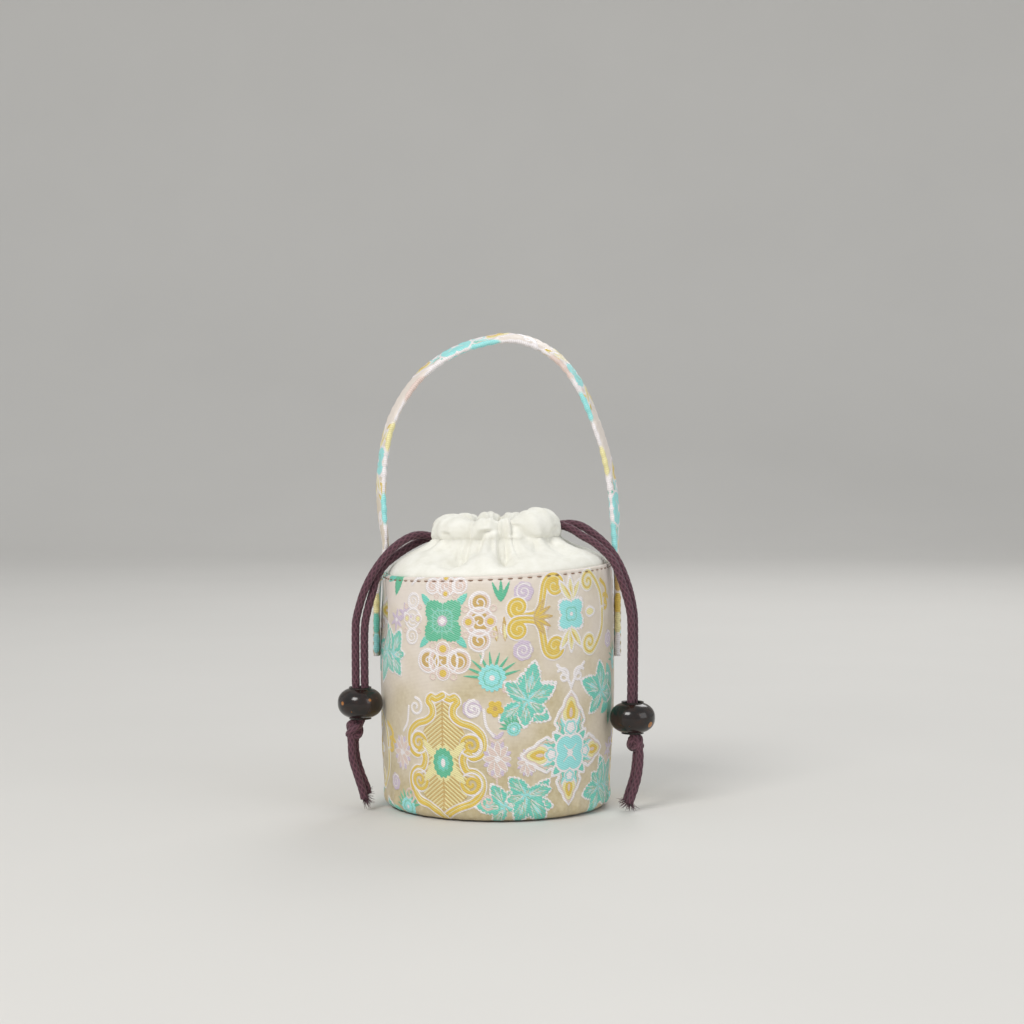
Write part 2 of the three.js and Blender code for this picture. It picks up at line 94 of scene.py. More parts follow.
def smooth_line(points: Sequence[Sequence[float]], count: int) -> Array:
    """Evenly spaced points on a smooth curve.

    Args:
        points: points that the curve passes through.
        count: how many points to return.

    Returns:
        An array of count points, in the units of the given ones.
    """
    given = np.array(points, float)
    row = np.vstack([2 * given[0] - given[1], given, 2 * given[-1] - given[-2]])
    t = np.linspace(0, 1, 24, endpoint=False)[:, None]
    pieces = []
    for p0, p1, p2, p3 in zip(row, row[1:], row[2:], row[3:]):
        d0, d1, d2 = (max(np.linalg.norm(b - a), 1e-6) ** 0.5 for a, b in ((p0, p1), (p1, p2), (p2, p3)))
        leave = ((p1 - p0) / d0 - (p2 - p0) / (d0 + d1) + (p2 - p1) / d1) * d1
        arrive = ((p2 - p1) / d1 - (p3 - p1) / (d1 + d2) + (p3 - p2) / d2) * d1
        bend = 3 * (p2 - p1) - 2 * leave - arrive
        pieces.append(p1 + leave * t + bend * t**2 + (2 * (p1 - p2) + leave + arrive) * t**3)
    dense = np.vstack([*pieces, given[-1:]])
    run = run_of(dense)
    at = np.linspace(0, run[-1], count)
    return np.column_stack([np.interp(at, run, dense[:, k]) for k in range(dense.shape[1])])


def make_piece(name: str, points: Array, faces: list, finish: Material) -> Piece:
    """Makes a smooth-shaded mesh object.

    Args:
        name: the piece's name.
        points: its corners, in millimetres.
        faces: rows of corner numbers.
        finish: its material.

    Returns:
        The new object, linked to the scene.
    """
    mesh = bpy.data.meshes.new(name)
    mesh.from_pydata((points * MM).tolist(), [], faces)
    mesh.update()
    mesh.polygons.foreach_set("use_smooth", [True] * len(mesh.polygons))
    mesh.materials.append(finish)
    piece = bpy.data.objects.new(name, mesh)
    bpy.context.scene.collection.objects.link(piece)
    return piece


def grid_faces(rows: int, columns: int, wrap_rows: bool, wrap_columns: bool, capped: bool) -> list:
    """Faces of a grid of corners.

    Args:
        rows: how many rows of corners there are.
        columns: how many corners a row has.
        wrap_rows: whether the last row joins the first.
        wrap_columns: whether each row closes on itself.
        capped: whether an open first and last row is closed with a flat face.

    Returns:
        Lists of corner numbers, row by row.
    """
    corner = np.arange(rows * columns).reshape(rows, columns)
    if wrap_rows:
        corner = np.vstack([corner, corner[:1]])
    if wrap_columns:
        corner = np.hstack([corner, corner[:, :1]])
    quads = np.stack([corner[:-1, :-1], corner[1:, :-1], corner[1:, 1:], corner[:-1, 1:]], axis=-1)
    faces = quads.reshape(-1, 4).tolist()
    if capped:
        faces.append(list(range(columns)))
        faces.append([(rows - 1) * columns + k for k in reversed(range(columns))])
    return faces


def facing_out(points: Array, faces: list) -> list:
    """The faces, turned over if the closed body that they make is inside out."""
    quads = np.array([face for face in faces if len(face) == 4])
    a, b, c, d = (points[quads[:, k]] for k in range(4))
    volume = float(np.sum(a * (np.cross(b, c) + np.cross(c, d))))
    for face in (face for face in faces if len(face) > 4):
        a = points[face[0]]
        for k in range(1, len(face) - 1):
            volume += float(np.dot(a, np.cross(points[face[k]], points[face[k + 1]])))
    return faces if volume > 0 else [face[::-1] for face in faces]


def grid_piece(
    name: str,
    grid: Array,
    finish: Material,
    wrap_rows: bool = False,
    wrap_columns: bool = False,
    capped: bool = False,
) -> Piece:
    """Makes a closed piece from a grid of points in millimetres, facing out. See grid_faces for the options."""
    rows, columns = grid.shape[:2]
    points = grid.reshape(-1, 3)
    faces = grid_faces(rows, columns, wrap_rows, wrap_columns, capped)
    return make_piece(name, points, facing_out(points, faces), finish)


def keep_values(piece: Piece, **values: Array) -> None:
    """Stores named numbers at the piece's corners, for its material."""
    for name, numbers in values.items():
        attribute = piece.data.attributes.new(name, "FLOAT", "POINT")
        attribute.data.foreach_set("value", np.asarray(numbers, np.float32).ravel())


class Wire:
    """A shader socket, or a number from one, that Python's own operators work on."""

    def __init__(self, shader: "Shader", socket: bpy.types.NodeSocket) -> None:
        """Keeps the socket and the shader that it belongs to."""
        self.shader = shader
        self.socket = socket

    def maths(self, operation: str, *values: "Wire | float") -> "Wire":
        """One Math node of the given operation on the values."""
        return self.shader.node("ShaderNodeMath", {"operation": operation}, dict(enumerate(values)))

    def __add__(self, other: "Wire | float") -> "Wire":
        """Sum."""
        return self.maths("ADD", self, other)

    __radd__ = __add__

    def __sub__(self, other: "Wire | float") -> "Wire":
        """Difference."""
        return self.maths("SUBTRACT", self, other)

    def __rsub__(self, other: float) -> "Wire":
        """A number less this."""
        return self.maths("SUBTRACT", other, self)

    def __mul__(self, other: "Wire | float") -> "Wire":
        """Product."""
        return self.maths("MULTIPLY", self, other)

    __rmul__ = __mul__

    def wave(self, length: float) -> "Wire":
        """Sine of this over a wavelength, from -1 to 1."""
        return self.maths("SINE", self * (TAU / length))

    def within(self, low: float = 0.0, high: float = 1.0) -> "Wire":
        """This, kept between two numbers."""
        return self.maths("MINIMUM", self.maths("MAXIMUM", self, low), high)


class Shader:
    """A material and the nodes that lead to its Principled shader."""

    def __init__(self, name: str) -> None:
        """Starts a material with only its Principled shader and its output."""
        self.material = bpy.data.materials.new(name)
        self.material.use_nodes = True
        self.tree = self.material.node_tree
        self.surface = next(n for n in self.tree.nodes if n.type == "BSDF_PRINCIPLED")

    def node(self, kind: str, settings: dict, inputs: dict, output: int | str = 0) -> Wire:
        """Adds a node.

        Args:
            kind: the node's type.
            settings: its own settings; stops holds a ramp's places and colours.
            inputs: values or wires by socket name or number.
            output: the socket to return.

        Returns:
            The wire from that output.
        """
        made = self.tree.nodes.new(kind)
        for key, value in settings.items():
            if key == "stops":
                ramp = made.color_ramp.elements
                while len(ramp) < len(value):
                    ramp.new(0.5)
                for element, (place, colour) in zip(ramp, value):
                    element.position = place
                    element.color = (*colour, 1)
            else:
                setattr(made, key, value)
        for key, value in inputs.items():
            self.feed(made.inputs[key], value)
        return Wire(self, made.outputs[output])

    def feed(self, socket: bpy.types.NodeSocket, value: "Wire | float | Colour") -> None:
        """Links a wire to a socket, or sets the socket's own value."""
        if isinstance(value, Wire):
            self.tree.links.new(value.socket, socket)
        elif socket.type == "RGBA":
            socket.default_value = (*value, 1)
        else:
            socket.default_value = value

    def value(self, name: str) -> Wire:
        """A number that the mesh keeps at its corners."""
        return self.node("ShaderNodeAttribute", {"attribute_name": name}, {}, "Fac")

    def noise(self, size: float, detail: float = 2.0) -> Wire:
        """Noise from 0 to 1, with features of a size in millimetres."""
        where = self.node("ShaderNodeTexCoord", {}, {}, "Object")
        inputs = {"Vector": where, "Scale": 1 / (size * MM), "Detail": detail, "Roughness": 0.55}
        return self.node("ShaderNodeTexNoise", {}, inputs, "Fac")

    def mix(self, share: Wire | float, first: Wire | Colour, second: Wire | Colour) -> Wire:
        """Colour between two others."""
        return self.node("ShaderNodeMix", {"data_type": "RGBA"}, {0: share, 6: first, 7: second}, 2)

    def ramp(self, share: Wire, *stops: tuple[float, Colour]) -> Wire:
        """Colour from a ramp."""
        return self.node("ShaderNodeValToRGB", {"stops": stops}, {"Fac": share}, "Color")

    def finish(self, colour: Wire, roughness: Wire | float, height: Wire, **plain: float) -> Material:
        """Links the surface.

        Args:
            colour: the base colour.
            roughness: its roughness.
            height: the relief, in millimetres.
            plain: numbers for other sockets of the shader, with _ for a space.

        Returns:
            The finished material.
        """
        self.feed(self.surface.inputs["Base Color"], colour)
        self.feed(self.surface.inputs["Roughness"], roughness)
        inputs = {"Strength": 1.0, "Distance": MM, "Height": height}
        self.feed(self.surface.inputs["Normal"], self.node("ShaderNodeBump", {}, inputs))
        for name, number in plain.items():
            self.surface.inputs[name.replace("_", " ")].default_value = number
        return self.material


class Thread(Enum):
    """Weft colours of the brocade."""

    GOLD = "gold"
    OCHRE = "ochre"
    CREAM = "cream"
    WHITE = "white"
    GREEN = "green"
    MINT = "mint"
    AQUA = "aqua"
    LILAC = "lilac"
    ROSE = "rose"


THREAD_TINTS = {
    Thread.GOLD: tint(226, 194, 84),
    Thread.OCHRE: tint(206, 172, 104),
    Thread.CREAM: tint(238, 228, 168),
    Thread.WHITE: tint(242, 236, 236),
    Thread.GREEN: tint(98, 190, 152),
    Thread.MINT: tint(116, 210, 190),
    Thread.AQUA: tint(156, 230, 228),
    Thread.LILAC: tint(212, 196, 214),
    Thread.ROSE: tint(228, 206, 196),
}
GOLD, OCHRE, CREAM, WHITE, GREEN, MINT, AQUA, LILAC, ROSE = Thread


@dataclass(frozen=True)
class Brocade:
    """Satin ground with floats of coloured weft over it, with painted sheen towards the top and painted shade
    between the floats.
    """

    name: str
    ground: Colour = tint(212, 200, 168)
    ground_dark: Colour = tint(176, 158, 116)
    # Pale colour that the painted sheen mixes into the ground towards the top.
    ground_sheen: Colour = tint(230, 220, 214)
    edge: float = 0.3

    def build(self) -> Material:
        """Makes the material, which reads across, along and the thread fields at the corners."""
        s = Shader(self.name)
        across, along = s.value("across"), s.value("along")
        grain = s.noise(2.2)
        ribs = along.wave(0.62) * 0.5 + across.wave(0.55) * 0.3
        # The ground varies at random with the grain noise, with a little painted shade in the grooves of its
        # ribs.
        colour = s.mix((grain + ribs * 0.16).within(), self.ground_dark, self.ground)
        # Painted sheen: the ground is mixed towards a pale colour higher up the cloth, in soft patches from the
        # noise.
        sheen_noise = s.noise(26, 1.0)
        pale = (along * 0.009 - 0.35 + sheen_noise * 1.5 - 0.55).within(0, 0.8)
        colour = s.mix(pale, colour, self.ground_sheen)
        floats = (along + across * 0.45 + grain * 0.5).wave(0.95)
        raised = None
        for thread in Thread:
            there = (s.value(thread.value) * (1 / self.edge) + 0.5).within()
            dyed = THREAD_TINTS[thread]
            # Each thread shows its colour on the crests of its floats and a painted shaded copy, 0.72 as bright,
            # in the grooves between them, with random tone from the grain.
            dark = tuple(0.72 * c for c in dyed)
            lit = (floats * 0.32 + 0.72 + (grain - 0.5) * 0.5).within()
            colour = s.mix(there, colour, s.mix(lit, dark, dyed))
            raised = there if raised is None else raised.maths("MAXIMUM", raised, there)
        height = raised * (floats * 0.05 + 0.14) + (1 - raised) * (ribs * 0.035) + grain * 0.04
        return s.finish(colour, raised * -0.12 + 0.5, height, Specular_IOR_Level=0.6, Sheen_Weight=0.12)


@dataclass(frozen=True)
class Cotton:
    """Crinkled plain-weave cotton, with painted shade in the hollows of its crinkles."""

    name: str
    colour: Colour
    hollow_shade: Colour
    crinkle: float = 0.16

    def build(self) -> Material:
        """Makes the material, which reads across and along at the corners."""
        s = Shader(self.name)
        weave = s.value("across").wave(0.7) * s.value("along").wave(0.7)
        soft = s.noise(5, 3.0)
        slub = s.noise(0.9, 2.0)
        # Painted shade: the darker colour fills the low places of the crinkle noise that also raises the relief,
        # and a little of the weave's grooves.
        colour = s.mix((soft * 1.3 - 0.2 + weave * 0.1).within(), self.hollow_shade, self.colour)
        height = weave * 0.03 + soft * self.crinkle + slub * 0.05
        return s.finish(colour, 0.88, height, Specular_IOR_Level=0.25, Sheen_Weight=0.1)


@dataclass(frozen=True)
class BraidedCotton:
    """Plum cord of round-braided cotton, with a painted highlight on the braid's ridges and painted shade in its
    grooves.
    """

    name: str
    colour: Colour = tint(82, 50, 60)
    # light is the painted highlight colour of the ridges and deep the painted shade colour of the grooves.
    light: Colour = tint(134, 90, 103)
    deep: Colour = tint(42, 22, 30)

    def build(self) -> Material:
        """Makes the material, which reads the braid's ridges at the corners."""
        s = Shader(self.name)
        ridge = s.value("ridge")
        fibre = s.noise(0.35, 3.0)
        # Painted light: the ridges of the braid, which also stand out in the relief, take the light colour as a
        # painted highlight and its grooves the deep colour as painted shade, mixed with random fibre tone.
        tone = (ridge * 0.6 + fibre * 0.5 - 0.12).within()
        colour = s.ramp(tone, (0.0, self.deep), (0.5, self.colour), (1.0, self.light))
        return s.finish(colour, 0.78, fibre * 0.12 + ridge * 0.05, Specular_IOR_Level=0.35, Sheen_Weight=0.2)


@dataclass(frozen=True)
class LacqueredWood:
    """Dark turned wood under clear lacquer, with small amber flecks."""

    name: str
    dark: Colour = tint(15, 9, 7)
    grain: Colour = tint(44, 24, 14)
    amber: Colour = tint(176, 112, 48)

    def build(self) -> Material:
        """Makes the material, which reads the amber spots at the corners."""
        s = Shader(self.name)
        streak = s.noise(3.5, 4.0)
        fine = s.noise(0.8, 2.0)
        colour = s.mix((streak * 2.4 - 0.9).within(), self.dark, self.grain)
        fleck = (fine * 9 - 6.0).within() * (streak * 3 - 1.2).within()
        spot = (s.value("spot") * 3 + 0.5).within()
        colour = s.mix((fleck * 0.6 + spot * 0.85).within(), colour, self.amber)
        return s.finish(colour, fine * 0.08 + 0.14, streak * 0.03, Coat_Weight=0.15, Coat_Roughness=0.06)


@dataclass(frozen=True)
class PressedFibre:
    """Stiff board or interlining of pressed fibres."""

    name: str
    colour: Colour
    speck: Colour

    def build(self) -> Material:
        """Makes the material."""
        s = Shader(self.name)
        blot, fine = s.noise(3, 3.0), s.noise(0.5, 2.0)
        colour = s.mix((blot * 0.8 + fine * 0.6 - 0.3).within(), self.speck, self.colour)
        return s.finish(colour, 0.9, fine * 0.08 + blot * 0.05)


@dataclass(frozen=True)
class SewingThread:
    """Twisted sewing thread."""

    name: str
    colour: Colour

    def build(self) -> Material:
        """Makes the material."""
        s = Shader(self.name)
        ply = s.noise(0.4, 2.0)
        dark = tuple(0.6 * c for c in self.colour)
        return s.finish(s.mix(ply, dark, self.colour), 0.6, ply * 0.06)


@dataclass(frozen=True)
class PaleTable:
    """Plain pale floor that runs up into the backdrop."""

    name: str = "pale_table"
    colour: Colour = tint(214, 212, 208)

    def build(self) -> Material:
        """Makes the material."""
        s = Shader(self.name)
        drift = s.noise(180, 2.0)
        near = tuple(0.95 * c for c in self.colour)
        return s.finish(s.mix(drift, near, self.colour), 0.7, s.noise(2.0) * 0.01, Specular_IOR_Level=0.2)


@dataclass
class SettledForm:
    """Where the cloth lies, in millimetres, as the part's own sizes give it."""

    radius: float = 52.6
    rim: float = 107.1
    tilt: float = 2.7
    casing: float = 123.4
    rows: Array = field(default_factory=lambda: np.zeros((0, 2)))

    def __post_init__(self) -> None:
        """Samples the wall's outline."""
        r, h = self.radius, self.rim
        foot = [(46.9, 0.3), (r - 3.4, 1.6), (r - 2.2, 5), (r - 1.6, 14)]
        knots = np.array([*foot, (r - 0.4, 0.4 * h), (r, 0.74 * h), (r - 0.7, 0.93 * h), (r - 1.2, h)])
        row = np.vstack([knots[:1], knots, knots[-1:]])
        t = np.linspace(0, 1, 40, endpoint=False)[:, None]
        out = []
        for p0, p1, p2, p3 in zip(row, row[1:], row[2:], row[3:]):
            v0, v1 = (p2 - p0) / 2, (p3 - p1) / 2
            out.append((2 * (p1 - p2) + v0 + v1) * t**3 + (3 * (p2 - p1) - 2 * v0 - v1) * t**2 + v0 * t + p1)
        self.rows = np.vstack([*out, knots[-1:]])

    def wall(self, z: Array | float) -> Array:
        """Outer radius of the wall at a height."""
        return np.interp(z, self.rows[:, 1], self.rows[:, 0])

    def dent(self, angle: Array, z: Array) -> Array:
        """How far the wall is pushed in at the worn place on the left."""
        turned = (angle + 180) % 360 - 180
        return -4.0 * bell(turned, -79, 9) * bell(z, 87, 13)

    def lean(self, x: Array, z: Array) -> Array:
        """How much the tilt of the rim lifts a point."""
        rising = smooth(z, 12, self.rim) * (1 - 0.5 * smooth(z, self.rim, self.casing - 5))
        return self.tilt * x / self.radius * rising

    def place(self, r: Array, angle: Array, z: Array) -> Array:
        """Points at radius, angle in degrees from the front and height."""
        r, angle, z = np.broadcast_arrays(np.asarray(r, float), np.asarray(angle, float), np.asarray(z, float))
        x, y = r * np.sin(np.radians(angle)), -r * np.cos(np.radians(angle))
        return np.stack([x, y, z + self.lean(x, z)], axis=-1)


FORM = SettledForm()


# Brocade drawing. A shape is a rule for how far inside its edge a point lies, in millimetres, and its box


def ray(angle: float, reach: float, x: float = 0.0, y: float = 0.0, rise: float | None = None) -> Point:
    """Point at an angle in degrees and a distance from x, y. rise is the distance upwards where it differs."""
    t = math.radians(angle)
    return x + reach * math.cos(t), y + (rise or reach) * math.sin(t)


def disc(cx: float, cy: float, rx: float, ry: float | None = None) -> Shape:
    """Filled circle or ellipse."""
    ry = ry or rx
    inside = lambda u, v: (1 - np.hypot((u - cx) / rx, (v - cy) / ry)) * min(rx, ry)
    return inside, (cx - rx, cy - ry, cx + rx, cy + ry)


def rosette(cx: float, cy: float, r: float, petals: int, bite: float, turn: float = 0, wide: float = 1) -> Shape:
    """Flower outline with round petals. bite is how deep the gaps cut in, and wide stretches it sideways."""

    def inside(u: Array, v: Array) -> Array:
        du, dv = (u - cx) / wide, v - cy
        angle = np.arctan2(dv, du) + math.radians(turn)
        edge = r * (1 - bite + bite * np.abs(np.cos(petals * angle / 2)) ** 0.6)
        return edge - np.hypot(du, dv)

    return inside, (cx - r * wide, cy - r, cx + r * wide, cy + r)


def toothed_square(w: float, h: float, tooth: float = 0.7, pitch: float = 1.7) -> Shape:
    """Square flower whose sides are cut in teeth and dip at their middles."""

    def inside(u: Array, v: Array) -> Array:
        du, dv = u / w, v / h
        side = (du**6 + dv**6) ** (1 / 6)
        along = np.where(np.abs(du) > np.abs(dv), v, u)
        dip = 0.16 * bell(along, 0, 0.22 * min(w, h))
        return (1 - side - dip) * min(w, h) - tooth * (0.5 + 0.5 * np.cos(TAU * along / pitch))

    return inside, (-w, -h, w, h)


def stroke(points: Sequence[Point], width: float, taper: float = 0.0) -> Shape:
    """Line of a width through points, thinning by the taper's share towards its end."""
    line = smooth_line(points, max(12, min(90, 5 * len(points))))
    low, high = line.min(0) - width, line.max(0) + width

    def inside(u: Array, v: Array) -> Array:
        best = np.full(u.shape, -99.0)
        for k, ((ax, ay), (bx, by)) in enumerate(zip(line, line[1:])):
            dx, dy = bx - ax, by - ay
            t = np.clip(((u - ax) * dx + (v - ay) * dy) / (dx * dx + dy * dy + 1e-9), 0, 1)
            half = width / 2 * (1 - taper * k / len(line))
            best = np.maximum(best, half - np.hypot(u - ax - t * dx, v - ay - t * dy))
        return best

    return inside, (*low, *high)


def winding(cx: float, cy: float, r: float, turns: float, start: float, hand: int) -> list[Point]:
    """Points of a spiral that winds in to its centre from a start angle in degrees."""
    t = np.linspace(0, 1, int(10 * turns) + 4)
    angle = np.radians(start) + hand * TAU * turns * t
    reach = r * (1 - 0.86 * t)
    return list(zip(cx + reach * np.cos(angle), cy + reach * np.sin(angle)))


def curl(cx: float, cy: float, r: float, turns: float, start: float, hand: int, width: float) -> Shape:
    """Line along such a spiral."""
    return stroke(winding(cx, cy, r, turns, start, hand), width, 0.25)


def leaf(ax: float, ay: float, bx: float, by: float, width: float, teeth: float = 0.0) -> Shape:
    """Leaf from its stalk to its tip, with optional teeth along its edge."""
    length = math.hypot(bx - ax, by - ay)
    ux, uy = (bx - ax) / length, (by - ay) / length

    def inside(u: Array, v: Array) -> Array:
        t = ((u - ax) * ux + (v - ay) * uy) / length
        off = np.abs((v - ay) * ux - (u - ax) * uy)
        half = width / 2 * np.sin(np.pi * np.clip(t, 0, 1) ** 0.8) ** 0.7
        half = half - teeth * np.abs(np.sin(t * length * 1.9)) * (half > 0.4)
        return np.where((t < 0) | (t > 1), -1.0 - 9 * np.abs(t - 0.5), half - off)

    pad = width / 2
    return inside, (min(ax, bx) - pad, min(ay, by) - pad, max(ax, bx) + pad, max(ay, by) + pad)


def rim_of(shape: Shape, width: float) -> Shape:
    """Band of a width along another shape's edge."""
    inner, (x0, y0, x1, y1) = shape
    return (lambda u, v: width / 2 - np.abs(inner(u, v))), (x0 - width, y0 - width, x1 + width, y1 + width)


class Weaving:
    """Thread fields of a piece of brocade, painted shape over shape."""

    deep = 3.0
    spill = 1.5
    tuck = 0.5

    def __init__(self, across: Array, along: Array) -> None:
        """Starts with bare ground at the given places, in millimetres of flat cloth."""
        self.across, self.along, self.height = across.ravel(), along.ravel(), 0.0
        self.fields = {thread: np.full(self.across.size, -self.deep) for thread in Thread}

    def at(self, u: float, v: float) -> "Figured":
        """The same cloth, measured from another place on it."""
        moved = copy.copy(self)
        moved.across, moved.along, moved.height = self.across - u, self.along - v, self.height + v
        return moved

    def paint(self, *layers: tuple[Thread, Shape]) -> None:
        """Lays shapes, each of one thread, over what is there."""
        u, v, spill = self.across, self.along, self.spill
        for thread, (inside, (x0, y0, x1, y1)) in layers:
            near = (u > x0 - spill) & (u < x1 + spill) & (v > y0 - spill) & (v < y1 + spill)
            index = np.nonzero(near)[0]
            if not index.size:
                continue
            depth = np.clip(inside(u[index], v[index]), -self.deep, self.deep)
            for other, values in self.fields.items():
                was = values[index]
                values[index] = np.maximum(was, depth) if other is thread else np.minimum(was, -depth)

    def relief(self) -> Array:
        """How much of the float stands up at each place, from 0 to 1."""
        return np.clip(np.max(list(self.fields.values()), axis=0) / self.tuck + 0.5, 0, 1)

    def store(self, piece: Piece) -> None:
        """Keeps the fields and the flat coordinates at the piece's corners."""
        keep_values(piece, across=self.across, along=self.along)
        keep_values(piece, **{thread.value: values for thread, values in self.fields.items()})


class Figured(Weaving):
    """Cloth with scrolls, clouds, ogees and flowers in two alternating columns with a half drop.

    Each motif is drawn from its own middle.
    """

    pitch = 59.0
    repeat = 122.0
    between_columns = 29.5

    def cloud(self, rx: float, ry: float, fill: Thread | None) -> None:
        """Cloud of linked round lobes, outlined in white."""
        r, reach = min(rx, ry), max(rx, ry)
        put = (lambda s, up: (s, up)) if ry > rx else (lambda s, up: (up, s))
        lobes = [(*put(0, 0.62 * reach * k), r * size, k) for k, size in ((-1, 0.72), (0, 0.95), (1, 0.72))]
        for x, y, size, _ in lobes if fill else ():
            self.paint((ROSE, disc(x, y, size)), (fill, disc(x, y, size * 0.72)))
        for x, y, size, _ in lobes:
            self.paint((WHITE, rim_of(disc(x, y, size), 0.9)))
        for x, y, _, k in lobes:
            hand = 1 if k else -1
            self.paint((WHITE, curl(x, y, r * 0.66, 1.5, 60 * hand, hand, 0.75)))
        for side in (-1, 1):
            x, y = put(side * r * 0.75, 0)
            eye = disc(x, y, r * 0.42)
            self.paint((ROSE, eye), (GOLD if fill else CREAM, disc(x, y, r * 0.24)), (WHITE, rim_of(eye, 0.6)))
            for up in (-0.42, 0.42):
                self.paint((ROSE, rim_of(disc(*put(side * r * 0.95, up * reach), r * 0.2), 0.7)))

    def square_flower(self) -> None:
        """Toothed green square flower with a pale heart, corner leaves and four clouds round it."""
        for s, up in ((-1, -1), (-1, 1), (1, -1), (1, 1)):
            self.paint((MINT, leaf(6 * s, 6 * up, 11.5 * s, 12 * up, 3.6, 0.3)))
        self.paint((GREEN, toothed_square(9.0, 9.4)), (MINT, rim_of(rosette(0, 0, 5.4, 4, 0.3, 45), 0.6)))
        for k in range(16):
            a, far = 22.5 * k, 6.4 if k % 2 else 8.0
            self.paint((MINT, stroke([ray(a, 2.6), ray(a, far)], 0.5, 0.4)))
        self.paint((LILAC, rosette(0, 0, 2.4, 8, 0.2)), (WHITE, rosette(0, 0, 1.7, 4, 0.4)))
        self.at(-16.2, 0.8).cloud(4.6, 12.6, None)
        self.at(16.8, -0.6).cloud(6.4, 13.2, OCHRE)
        self.at(0.4, -17.6).cloud(11.8, 7.2, OCHRE)
        self.at(1.2, 15.2).cloud(10.6, 4.6, ROSE)

    def gold_frame(self) -> None:
        """Lobed gold frame with scrolled ends, hatched inside, round a green oval flower."""
        right = [
            (0, 28.5), (3.6, 26.8), (5.6, 27.8), (7.2, 25.6), (5.4, 23.4), (5.2, 19.6), (8.4, 16.8),
            (13.4, 15.2), (17.6, 11.6), (18.6, 6.6), (17.0, 2.6), (13.6, 1.4), (11.2, 3.6), (9.4, 0.4),
            (11.2, -4.6), (14.8, -5.2), (17.8, -8.4), (17.6, -13.6), (13.8, -18.2), (7.4, -20.8), (2.8, -23.4),
            (0, -26.0),
        ]
        spine = lambda v: 4.4 + 8.4 * bell(v, 5, 12) + 7.5 * bell(v, -13, 7)
        body = lambda u, v: np.minimum(spine(v) - np.abs(u), np.minimum(25.5 - v, v + 24.0))
        rows = lambda u, v: 0.42 - np.abs((v + self.height + np.abs(u) * 0.8) % 1.9 - 0.95)
        hatch = lambda u, v: np.minimum(body(u, v) - 0.4, rows(u, v))
        box = (-15, -25, 15, 26)
        self.paint((OCHRE, (body, box)), (CREAM, (hatch, box)), (OCHRE, stroke([(0, 26), (0, -24)], 0.7)))
        for s in (1, -1):
            line = [(s * u, v) for u, v in right]
            self.paint((WHITE, stroke(line, 4.0)), (GOLD, stroke(line, 2.8)))
            self.paint((CREAM, stroke([(u + 0.5, v + 0.4) for u, v in line], 0.5)))
        for s in (-1, 1):
            for v, hand in ((6.8, -s), (-10.2, s)):
                self.paint((WHITE, rim_of(disc(13 * s, v, 4.9), 0.8)))
                self.paint((GOLD, curl(13 * s, v, 4.4, 1.5, 90 + 90 * s, hand, 1.6)))
            self.paint((CREAM, leaf(4.5 * s, 1, 10.2 * s, 8.4, 3.0)))
            self.paint((CREAM, leaf(4.5 * s, -3, 10.2 * s, -10.4, 3.0)))
        for s in (-1, 1):
            self.at(24.6 * s, 1.0).star(8.4)
            self.paint(
                (WHITE, curl(14.5 * s, 22.5, 4.2, 1.4, 90, s, 1.3)),
                (WHITE, stroke([(18.7 * s, 22.5), (20 * s, 15), (23 * s, 11)], 1.2)),
                (ROSE, curl(20.5 * s, -17.5, 3.6, 1.3, -60, -s, 1.0)),
            )
        self.paint(
            (CREAM, rosette(0, -1.4, 8.2, 10, 0.22, 0, 0.76)),
            (GREEN, rosette(0, -1.4, 6.8, 14, 0.16, 0, 0.74)),
            (MINT, rosette(0, -1.4, 3.9, 8, 0.35, 0, 0.8)),
            (WHITE, disc(0, -1.4, 1.1, 2.0)),
        )

    def star(self, r: float) -> None:
        """Pale flower of outlined petals."""
        for k in range(8):
            self.paint((LILAC, leaf(0, 0, *ray(22.5 + 45 * k, 0.8 * r, rise=r), 0.36 * r)))
        for k in range(8):
            petal = leaf(0, 0, *ray(45 * k, 0.75 * r, rise=0.95 * r), 0.34 * r)
            self.paint((ROSE, petal), (WHITE, rim_of(petal, 0.6)))
        self.paint((WHITE, disc(0, 0, 0.16 * r)))

    def band(self, line: Sequence[Point], width: float, thread: Thread) -> None:
        """Thick couched line with a pale border and a light thread along its middle."""
        for colour, wide in ((WHITE, width + 1.2), (thread, width), (CREAM, 0.5)):
            self.paint((colour, stroke(line, wide)))

